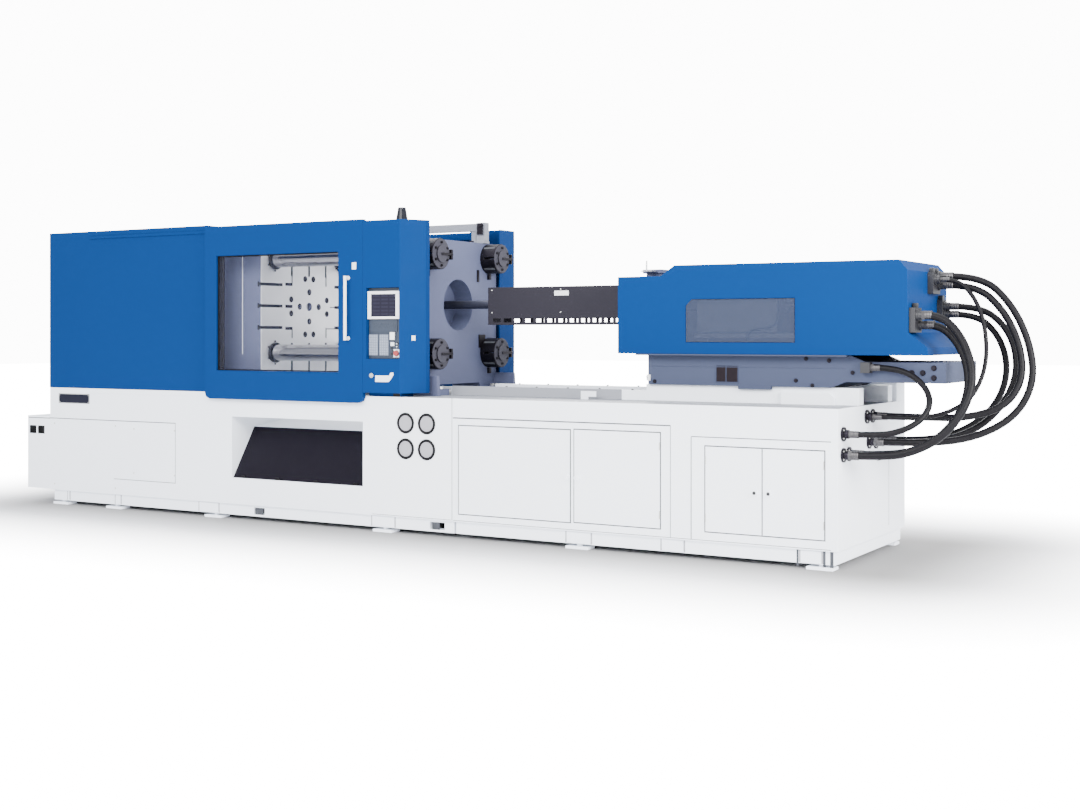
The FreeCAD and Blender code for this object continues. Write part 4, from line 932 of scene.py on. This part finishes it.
# Sliding safety doors, front and rear. A folded blue frame holds a clear polycarbonate pane
# in a black rubber gasket. A white bent bar is the handle, bolted through the frame.
pane = Finish("clear_pane", (0.1, 0.11, 0.17), 0.05, "clear_pane", Alpha=0.05,
              specular=0.1).gloss(0.05, 0.06, 3, 4).grain(2.5, 2, 0.05, 0.002)
plastic = Finish("handle_white", (0.8, 0.81, 0.83), 0.34, "handle_white",
                 Coat_Weight=0.2).gloss(0.3, 0.14, 12, 4).grain(
    520, 2, 0.2, 0.0003).mottle(3, 3, 0.95, 1.04)
for door, window, bar, face in (("safety_door", "door_window", "door_handle", -1),
                                ("rear_door", "rear_window", "rear_handle", 1)):
    body = body_of(door)
    dressed(door, "frame", blue, 0.003)
    dressed(window, "pane", pane, 0.0008)
    dressed(bar, "bar", plastic, 0.004)
    (x0, y0, z0), (x1, y1, z1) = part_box(window)
    inner, outer = sorted((abs(y0), abs(y1)))
    gasket = Shape(f"{window}_gasket", rubber, body)
    for near in (outer + 0.0004, inner - 0.0044):
        gasket.strips(frame_line(x0 + 0.012, x1 - 0.012, z0 + 0.012, z1 - 0.012, 0.011),
                      face * near, face * (near + 0.004), 0.0012)
    # The wide dark strip down the window's left edge, behind the pane, is a seal and also painted
    # shade of the frame's inside.
    gasket.block((x0 + 0.004, face * (inner - 0.012), z0 + 0.01),
                 (x0 + 0.062, face * (inner - 0.005), z1 - 0.01), 0.003).done()
    bar_low, bar_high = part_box(bar)
    roses = Shape(f"{bar}_roses", plastic, body)
    for z in (bar_low[2] + 0.016, bar_high[2] - 0.016):
        roses.turned((bar_low[0] + 0.014, face * 0.9505, z), (0, face, 0),
                     [(0, 0), (0, 0.0175), (0.003, 0.0175), (0.005, 0.015), (0.005, 0)], 28)
    roses.done()
    fixings(f"{door}_screws", BUTTON, 0.014,
            product((-2.05, -1.18, -0.33), (face * 0.905,), (1.13, 2.62)), (0, -face, 0), body)
Shape("door_blank_plate", plastic, "front_door").block(
    (-0.385, -0.9525, 2.238), (-0.34, -0.95, 2.298), 0.0008).done()


# Operator column and console. A folded blue column stands beside the door. A recess in it
# holds the control panel: screen in a white bezel, two foil keypads, push keys and a knob.
dressed("console_column", "sheet", blue, 0.003)
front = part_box("console_column")[0][1]
Shape("column_foot_cover", black).block((0.005, -0.8855, 1.1555), (0.075, -0.8845, 1.185),
                                        0).done()
panel = enamel("panel_grey", (0.02, 0.029, 0.048), 0.46, "key_foil")
dressed("console_panel", "plate", panel, 0.002)
glass = Finish("screen_glass", (0.035, 0.028, 0.055), 0.16, "screen_glass",
               specular=0.1).gloss(0.12, 0.12, 14, 4)
across, _, up = glass.split(glass.place)
rows = (up * 32.0).math("FRACT") < 0.5
columns = (across * 11.5).math("FRACT") < 0.82
glass.set("Emission Color", (0.1, 0.12, 0.2, 1))
glass.set("Emission Strength", 0.02)
glass.set("Base Color", glass.blend(rows * columns * 0.5, (0.013, 0.012, 0.021, 1),
                                    (0.022, 0.021, 0.036, 1)))
dressed("screen", "pane", glass, 0.0008)
(x0, _, z0), (x1, _, z1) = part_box("screen")
left, right, gap = x0 - 0.037, x1 + 0.041, 0.0005
Shape("screen_bezel", plastic, slot="panel_white").strips(
    [(left, right, z1 + gap, z1 + 0.025), (left, right, z0 - 0.021, z0 - gap),
     (left, x0 - gap, z0, z1), (x1 + gap, right, z0, z1)], front + 0.012, front + 0.015,
    0.0012).done()
foil = Finish("keypad_foil", (0.15, 0.17, 0.22), 0.45, "key_foil").grain(
    900, 2, 0.2, 0.0002).mottle(20, 3, 0.94, 1.05)
keycap = Finish("keypad_caps", (0.23, 0.26, 0.32), 0.46, "key_foil").grain(
    800, 2, 0.2, 0.0002).mottle(40, 2, 0.9, 1.06)
dressed("keypads", "foil", foil, 0.001)
key = Shape("key", keycap).block((0, -0.0022, 0), (0.0155, 0, 0.015), 0.0012).kept()
key_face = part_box("keypads")[0][1]
for k, x in enumerate((-0.2225, -0.1115)):
    field(f"keypad_keys_{k}", key, keycap, 4, 8, (x, key_face, 1.5085), 0.0225, 0.0215)
Shape("function_strip", panel).block((-0.222, key_face, 1.702),
                                     (0.071, key_face + 0.006, 1.806)).done()
field("function_keys", key, panel, 10, 2, (-0.186, key_face, 1.738), 0.0252, 0.024)
dressed("start_button", "cap", plastic, 0.0015)
knob_red = Finish("button_red", (0.3, 0.045, 0.045), 0.36, "button_red",
                  specular=0.3).gloss(0.28, 0.14, 15, 4).grain(400, 2, 0.15, 0.0003)
dressed("stop_button", "cap", knob_red, 0.004)

# The stop button's white plate is square, with a round hole. It and the small keys lie on the
# panel's recessed face.
key_base = front + 0.038 - 0.0002
(x0, _, z0), (x1, _, z1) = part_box("stop_button")
hole = (x1 - x0) / 2 + 0.002
half = hole + 0.008
outline = [(half, 0), (half, half), (-half, half), (-half, -half), (half, -half),
           (half, -0.0006)]
outline += [(hole * math.cos(a), hole * math.sin(a))
            for a in (-0.07 - (2 * math.pi - 0.14) * k / 20 for k in range(21))]
Shape("stop_button_plate", plastic, slot="button_white").sheet(
    [((x0 + x1) / 2 + a, (z0 + z1) / 2 + b) for a, b in outline], "XZ", key_base - 0.0038,
    key_base, 0).done()
white_keys = Shape("console_small_keys", plastic, slot="button_white")
for strip, out, bevel in (((0.002, 0.04, 1.584, 1.616), 0.0098, 0.002),
                          ((0.094, 0.108, 1.618, 1.703), 0.0118, 0.002),
                          ((0.058, 0.07, 1.598, 1.606), 0.0058, 0.001),
                          ((0.058, 0.07, 1.574, 1.582), 0.0058, 0.001),
                          ((0.058, 0.07, 1.55, 1.558), 0.0058, 0.001)):
    white_keys.strips([strip], key_base - out, key_base, bevel)
white_keys.done()
Shape("console_dark_keys", latch).strips(
    [(x, x + 0.016, z, z + 0.018) for x, z in ((0.054, 1.596), (0.076, 1.596), (0.002, 1.556),
                                               (0.002, 1.508), (0.018, 1.532))],
    key_base - 0.0048, key_base, 0.0015).done()
Shape("column_tag_plate", plastic).sheet(
    [(-0.134, 1.28), (0.005, 1.28), (0.026, 1.3), (0.058, 1.344), (0.052, 1.362),
     (0.024, 1.358), (0.012, 1.334), (-0.134, 1.334)], "XZ", front - 0.004,
    front + 0.0005).done()
Shape("column_key_switch", zinc).turned(
    (-0.177, front + 0.001, 1.333), FRONT,
    [(0, 0), (0, 0.021), (0.005, 0.021), (0.007, 0.019), (0.007, 0.012), (0.016, 0.011),
     (0.017, 0.009), (0.017, 0)], 28).block(
    (-0.1795, front - 0.0262, 1.321), (-0.1745, front - 0.015, 1.345)).done()
Shape("column_blank_plate", plastic).block(
    (-0.017, -0.0022, -0.021), (0.017, 0.0004, 0.021), 0.0008,
    Matrix.Translation((0.188, -0.849, 1.651))
    @ Matrix.Rotation(math.atan2(0.189, 0.116), 4, "Z")).done()
lens = Finish("beacon_lens", (0.006, 0.007, 0.012), 0.3, "lamp",
              specular=0.2).gloss(0.18, 0.12, 10, 3).grain(300, 2, 0.1, 0.0003)
dressed("beacon", "dome", lens, 0.004)
Shape("beacon_ring", zinc).hoop((0.033, -0.8005, 2.655), UP, 0.054, 0.004).done()


# Slideways and ducts on the injection bed. White welded beams carry ground rails. A covered
# cable duct runs along the rear edge, and a white pad stands in front of the rails.
rail_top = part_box("carriage_rails")[1][2]
repaint(dressed("carriage_rails", "painted", white, 0.002), steel,
        lambda face: face.normal.z > 0.9 and face.center.z > rail_top - 0.002)
Shape("rear_cable_duct", white).sheet(
    [(0.482, 1.155), (0.698, 1.155), (0.698, 1.3), (0.69, 1.31), (0.49, 1.31),
     (0.482, 1.3)], "YZ", 2.4, 3.912, 0.002).sheet(
    [(3.3, 1.155), (3.72, 1.155), (3.72, 1.205), (3.68, 1.245), (3.3, 1.245)],
    "XZ", -0.43, -0.402, 0.003).sheet(
    [(1.609, 1.155), (1.674, 1.155), (1.674, 1.178), (1.748, 1.178), (1.748, 1.222),
     (1.609, 1.222)], "XZ", -0.504, -0.496).done()
# Painted shade: a grey strip in the beds' shade finish along the front of the rails near the
# platen.
Shape("rail_side_cover", deck_shade).block((0.278, -0.405, 1.157), (1.93, -0.4015, 1.238)).done()
fixings("duct_screws", BUTTON, 0.014,
        [(2.5 + 0.27 * k, y, 1.31) for k, y in product(range(6), (0.51, 0.67))], UP)
fixings("rail_screws", SOCKET, 0.018,
        [(0.5 + 0.3 * k, y, 1.233) for k, y in product(range(6), (-0.35, 0.35))], UP)


# Injection carriage. A cast and welded base in blue-grey enamel slides on the rails and holds
# a long beam out to the back, with bolts, tapped holes and a dark service hatch.
carriage = enamel("carriage_paint", (0.04, 0.05, 0.09), 0.56, "carriage_paint", peel=0.4,
                  specular=0.2)
dressed("carriage_base", "painted", carriage, 0.003)
body = "injection_unit"
flank = -0.43
hatch = Finish("hatch_dark", (0.006, 0.0035, 0.0055), 0.5, "dark_paint",
               specular=0.12).mottle(25, 4, 0.7, 1.9).grain(60, 3, 0.2, 0.001)
Shape("carriage_hatch", hatch, body).block((2.772, flank - 0.002, 1.316),
                                           (2.95, flank + 0.001, 1.44)).done()
Shape("carriage_hatch_rim", carriage, body).strips(
    frame_line(2.772, 2.95, 1.316, 1.44, 0.006) + [(2.85, 2.856, 1.316, 1.44)],
    flank - 0.005, flank + 0.001, 0.001).block(
    (2.19, flank - 0.003, 1.428), (3.8, flank + 0.0005, 1.434), 0.0012).block(
    (2.95, flank - 0.001, 1.262), (3.22, -0.402, 1.2865), 0.002).done()
for name, size, spots in (
        ("carriage_tapped_holes", 0.026, ((3.42, 1.335), (3.55, 1.3), (3.5, 1.5),
                                          (3.68, 1.487), (2.24, 1.31), (3.86, 1.4))),
        ("beam_bolts", 0.034, ((4.3, 1.405), (4.38, 1.405), (4.46, 1.37), (4.46, 1.44)))):
    fixings(name, HEX, size, [(x, flank, z) for x, z in spots], FRONT, body)
Shape("carriage_grease_block", plastic, body).block(
    (2.176, flank - 0.02, 1.315), (2.205, flank, 1.362), 0.003).rod(
    (2.186, flank - 0.02, 1.345), (2.186, flank - 0.034, 1.345), 0.007, sides=12).done()


# Plasticizing barrel. Nitrided steel tube with a nozzle and six clamped heater bands, under a
# ventilated guard. Inside turns the screw, which the drive behind also pushes forward.
BANDS = 6
barrel = machined("barrel_nitrided", (0.1, 0.105, 0.14), 0.42, "dark_iron", (1, 20, 20),
                  0.12, 0.8)
band = machined("band_stainless", (0.5, 0.48, 0.45), 0.36, "band_steel", (30, 1, 1), 0.15,
                0.7)
guard = enamel("guard_paint", (0.0175, 0.016, 0.0225), 0.58, "dark_paint",
               specular=0.12)
dressed("barrel", "steel", barrel, 0.002)
dressed("heater_bands", "steel", band, 0.002)
dressed("barrel_guard", "sheet", guard, 0.0015)
(x0, _, _), (x1, _, top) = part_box("heater_bands")
clamps = Shape("band_clamps", zinc, body)
posts = Shape("band_terminals", plastic, body, "panel_white")
for k in range(BANDS):
    middle = x0 + 0.1 + k * (x1 - x0 - 0.2) / (BANDS - 1)
    for x in (middle - 0.05, middle + 0.05):
        clamps.block((x - 0.012, -0.012, top - 0.001), (x + 0.012, 0.012, top + 0.0075))
    posts.turned((middle, 0.1215, AXIS), REAR,
                 [(0, 0), (0, 0.014), (0.016, 0.014), (0.018, 0.01), (0.018, 0)], 16)
clamps.done()
posts.done()
guard_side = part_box("barrel_guard")[0][1]
Shape("guard_blank_plate", plastic, body).block(
    (1.16, guard_side - 0.0018, 2.012), (1.3, guard_side + 0.0002, 2.052), 0.0006).done()
side_screws("guard_screws", 0.014, [*product((0.53, 1.22, 1.91), (1.87, 2.065))], guard_side,
            body)
stays = Shape("guard_stays", guard, body)
for x, y in product((0.497, 1.932), (-0.158, 0.152)):
    stays.block((x, y, 1.82), (x + 0.012, y + 0.006, 2.02))
stays.done()
dressed("feed_housing", "cast", cast, 0.003)
dressed("screw", "hardened", steel, 0.0008)
dressed("shot_cylinders", "painted", carriage, 0.002)
dressed("screw_drive", "painted", carriage, 0.002)
dressed("feed_gate", "steel", steel, 0.0015)
(_, y, _), (_, _, z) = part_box("feed_gate")
Shape("feed_gate_lever", zinc, "gate").rod((2.045, y + 0.012, z - 0.004),
                                           (2.045, y + 0.012, z + 0.018), 0.006,
                                           sides=12).done()


# Injection unit cover. Folded blue enamel sheet over the cylinders and the drive, with a
# smoked window in a thin gasket on the operator side. A cable duct shows behind the window.
dressed("injection_cover", "sheet", blue, 0.004)
smoke = Finish("smoke_pane", (0.04, 0.05, 0.085), 0.12, "smoke_pane", Alpha=0.6,
               specular=0.15).gloss(0.08, 0.08, 4, 4)
dressed("cover_window", "pane", smoke, 0.0006)
(x0, y, z0), (x1, _, z1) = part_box("cover_window")
Shape("cover_window_gasket", rubber, body).strips(
    frame_line(x0 + 0.003, x1 - 0.003, z0 + 0.003, z1 - 0.003, 0.0025), y - 0.0016,
    y - 0.0002, 0.0004).done()
Shape("drive_cable_duct", grey, body).block((2.62, -0.462, 1.7), (3.28, -0.452, 1.945),
                                            0.004).block(
    (2.6, -0.47, 1.655), (3.44, -0.455, 1.69), 0.003).done()
Shape("drive_cable", rubber, body).pipe(
    [(x, -0.482, z) for x, z in ((3.04, 1.64), (3.05, 1.7), (3.14, 1.722), (3.26, 1.735),
                                 (3.3, 1.79), (3.3, 1.96))], 0.008).done()
cover_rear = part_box("injection_cover")[1][1]
fixings("cover_screws_rear", BUTTON, 0.014,
        product((2.05, 2.7, 3.4, 4.2), (cover_rear,), (1.58, 2.08)), REAR, body)
Shape("cover_joints", seam_shade, body).strips(frame_line(2.5, 3.9, 1.62, 2.05, 0.003), cover_rear,
                                         cover_rear + 0.001).done()


# Hydraulic hoses. Black braided rubber pressure hose, cut to length and crimped into steel
# ends. Each hangs in its own loop from the injection unit round and down to the bed's ports.
HOSES = {
    "hose_1": (0.026, [(4.38, 0.13, 2.119), (4.66, 0.13, 2.119), (4.88, 0.13, 1.9),
        (5.01, 0.11, 1.62), (5.05, 0.07, 1.34), (4.94, 0, 1.09), (4.68, -0.12, 0.93),
        (4.34, -0.22, 0.88), (3.96, -0.22, 0.88)]),
    "hose_2": (0.026, [(4.38, 0.13, 2.052), (4.62, 0.13, 2.052), (4.83, 0.12, 1.85),
        (4.95, 0.09, 1.59), (4.975, 0.04, 1.34), (4.86, -0.04, 1.15), (4.6, -0.12, 1.07),
        (4.28, -0.14, 1.07), (3.96, -0.14, 1.07)]),
    "hose_3": (0.016, [(4.38, 0.03, 2.09), (4.5, 0.03, 2.09), (4.61, 0.02, 1.99), (4.69, 0, 1.84),
        (4.73, -0.03, 1.67), (4.74, -0.06, 1.5), (4.71, -0.1, 1.34), (4.64, -0.16, 1.2),
        (4.5, -0.23, 1.11), (4.33, -0.27, 1.07), (4.15, -0.27, 1.07), (3.96, -0.27, 1.07)]),
    "hose_4": (0.024, [(4.38, 0.29, 1.895), (4.6, 0.29, 1.895), (4.79, 0.27, 1.76),
        (4.89, 0.22, 1.56), (4.9, 0.15, 1.34), (4.8, 0.06, 1.12), (4.62, -0.01, 0.96),
        (4.31, -0.06, 0.87), (3.96, -0.06, 0.87)]),
    "hose_5": (0.028, [(4.38, -0.44, 1.82), (4.51, -0.44, 1.82), (4.65, -0.465, 1.69),
        (4.74, -0.51, 1.51), (4.77, -0.57, 1.33), (4.72, -0.64, 1.14), (4.59, -0.715, 0.96),
        (4.39, -0.8, 0.85), (4.17, -0.8, 0.821), (3.96, -0.8, 0.821)]),
    "hose_6": (0.022, [(4.01, -0.465, 1.44), (4.15, -0.465, 1.44), (4.31, -0.49, 1.4),
        (4.44, -0.54, 1.3), (4.49, -0.61, 1.18), (4.43, -0.7, 1.06), (4.28, -0.78, 0.985),
        (4.12, -0.8, 0.971), (3.96, -0.8, 0.971)]),
    "hose_7": (0.024, [(4.38, 0.29, 1.835), (4.57, 0.29, 1.835), (4.73, 0.29, 1.7),
        (4.81, 0.28, 1.5), (4.8, 0.25, 1.29), (4.7, 0.21, 1.1), (4.52, 0.15, 0.96),
        (4.26, 0.1, 0.88), (3.96, 0.1, 0.88)]),
    "hose_8": (0.028, [(4.38, -0.37, 1.75), (4.48, -0.37, 1.75), (4.6, -0.38, 1.65),
        (4.68, -0.4, 1.5), (4.71, -0.43, 1.33), (4.68, -0.48, 1.16), (4.58, -0.56, 0.99),
        (4.42, -0.64, 0.87), (4.2, -0.68, 0.821), (3.96, -0.68, 0.821)]),
}
for name, (radius, route) in HOSES.items():
    points = smooth_line(route)
    hose = put(f"{name}_rubber", swept_tube(f"{name}_rubber", points, radius))
    hose.data.materials.append(rubber.material)
    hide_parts(name)
    top, bottom = route[0], route[-1]
    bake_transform(hose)


# Hydraulics. A pump set sits in the bed. Dark ported plates join the hoses at both ends, and
# each hose end is crimped in a plated ferrule with a hexagon nut.
dark = enamel("dark_paint", (0.01, 0.01, 0.013), 0.45, "dark_paint")
plated = machined("ferrule_plated", (0.085, 0.082, 0.085), 0.42, "steel", (8, 8, 8), 0.2)
dressed("pump_set", "painted", dark, 0.003)
dressed("bed_ports", "steel", iron, 0.002)
dressed("unit_manifold", "painted", dark, 0.003)
NUT = [(0, 0.8), (0, 1.32), (0.022, 1.32), (0.024, 1.24), (0.024, 0.8)]
FERRULE = [(0, 0.8), (0, 1.16), (0.01, 1.16), (0.012, 1.1), (0.016, 1.1), (0.018, 1.16),
           (0.028, 1.16), (0.03, 1.1), (0.034, 1.1), (0.036, 1.16), (0.046, 1.14),
           (0.05, 1.02), (0.05, 0.8)]
for name, owner, end in (("bed_hose_ferrules", "machine", -1), ("unit_hose_ferrules", body, 0)):
    ferrules = Shape(name, plated, owner)
    for radius, route in HOSES.values():
        x, y, z = route[end]
        for out, profile, sides in ((-0.001, NUT, 6), (0.022, FERRULE, 28)):
            ferrules.turned((x + out, y, z), RIGHT,
                            [(along, radius * share) for along, share in profile], sides)
    ferrules.done()
fixings("bed_flange_bolts", SOCKET, 0.012,
        bolt_circle([route[-1][1:] for _, route in HOSES.values()], 3.927, 0.041, 4), RIGHT,
        finish=zinc)
Shape("unit_valves", latch, body).strips(
    [(y - 0.028, y + 0.028, z, z + 0.034) for y, z in ((0.03, 2.145), (0.13, 2.145),
                                                       (-0.4, 1.875), (0.29, 1.945))],
    4.302, 4.334, 0.004, "YZ").done()
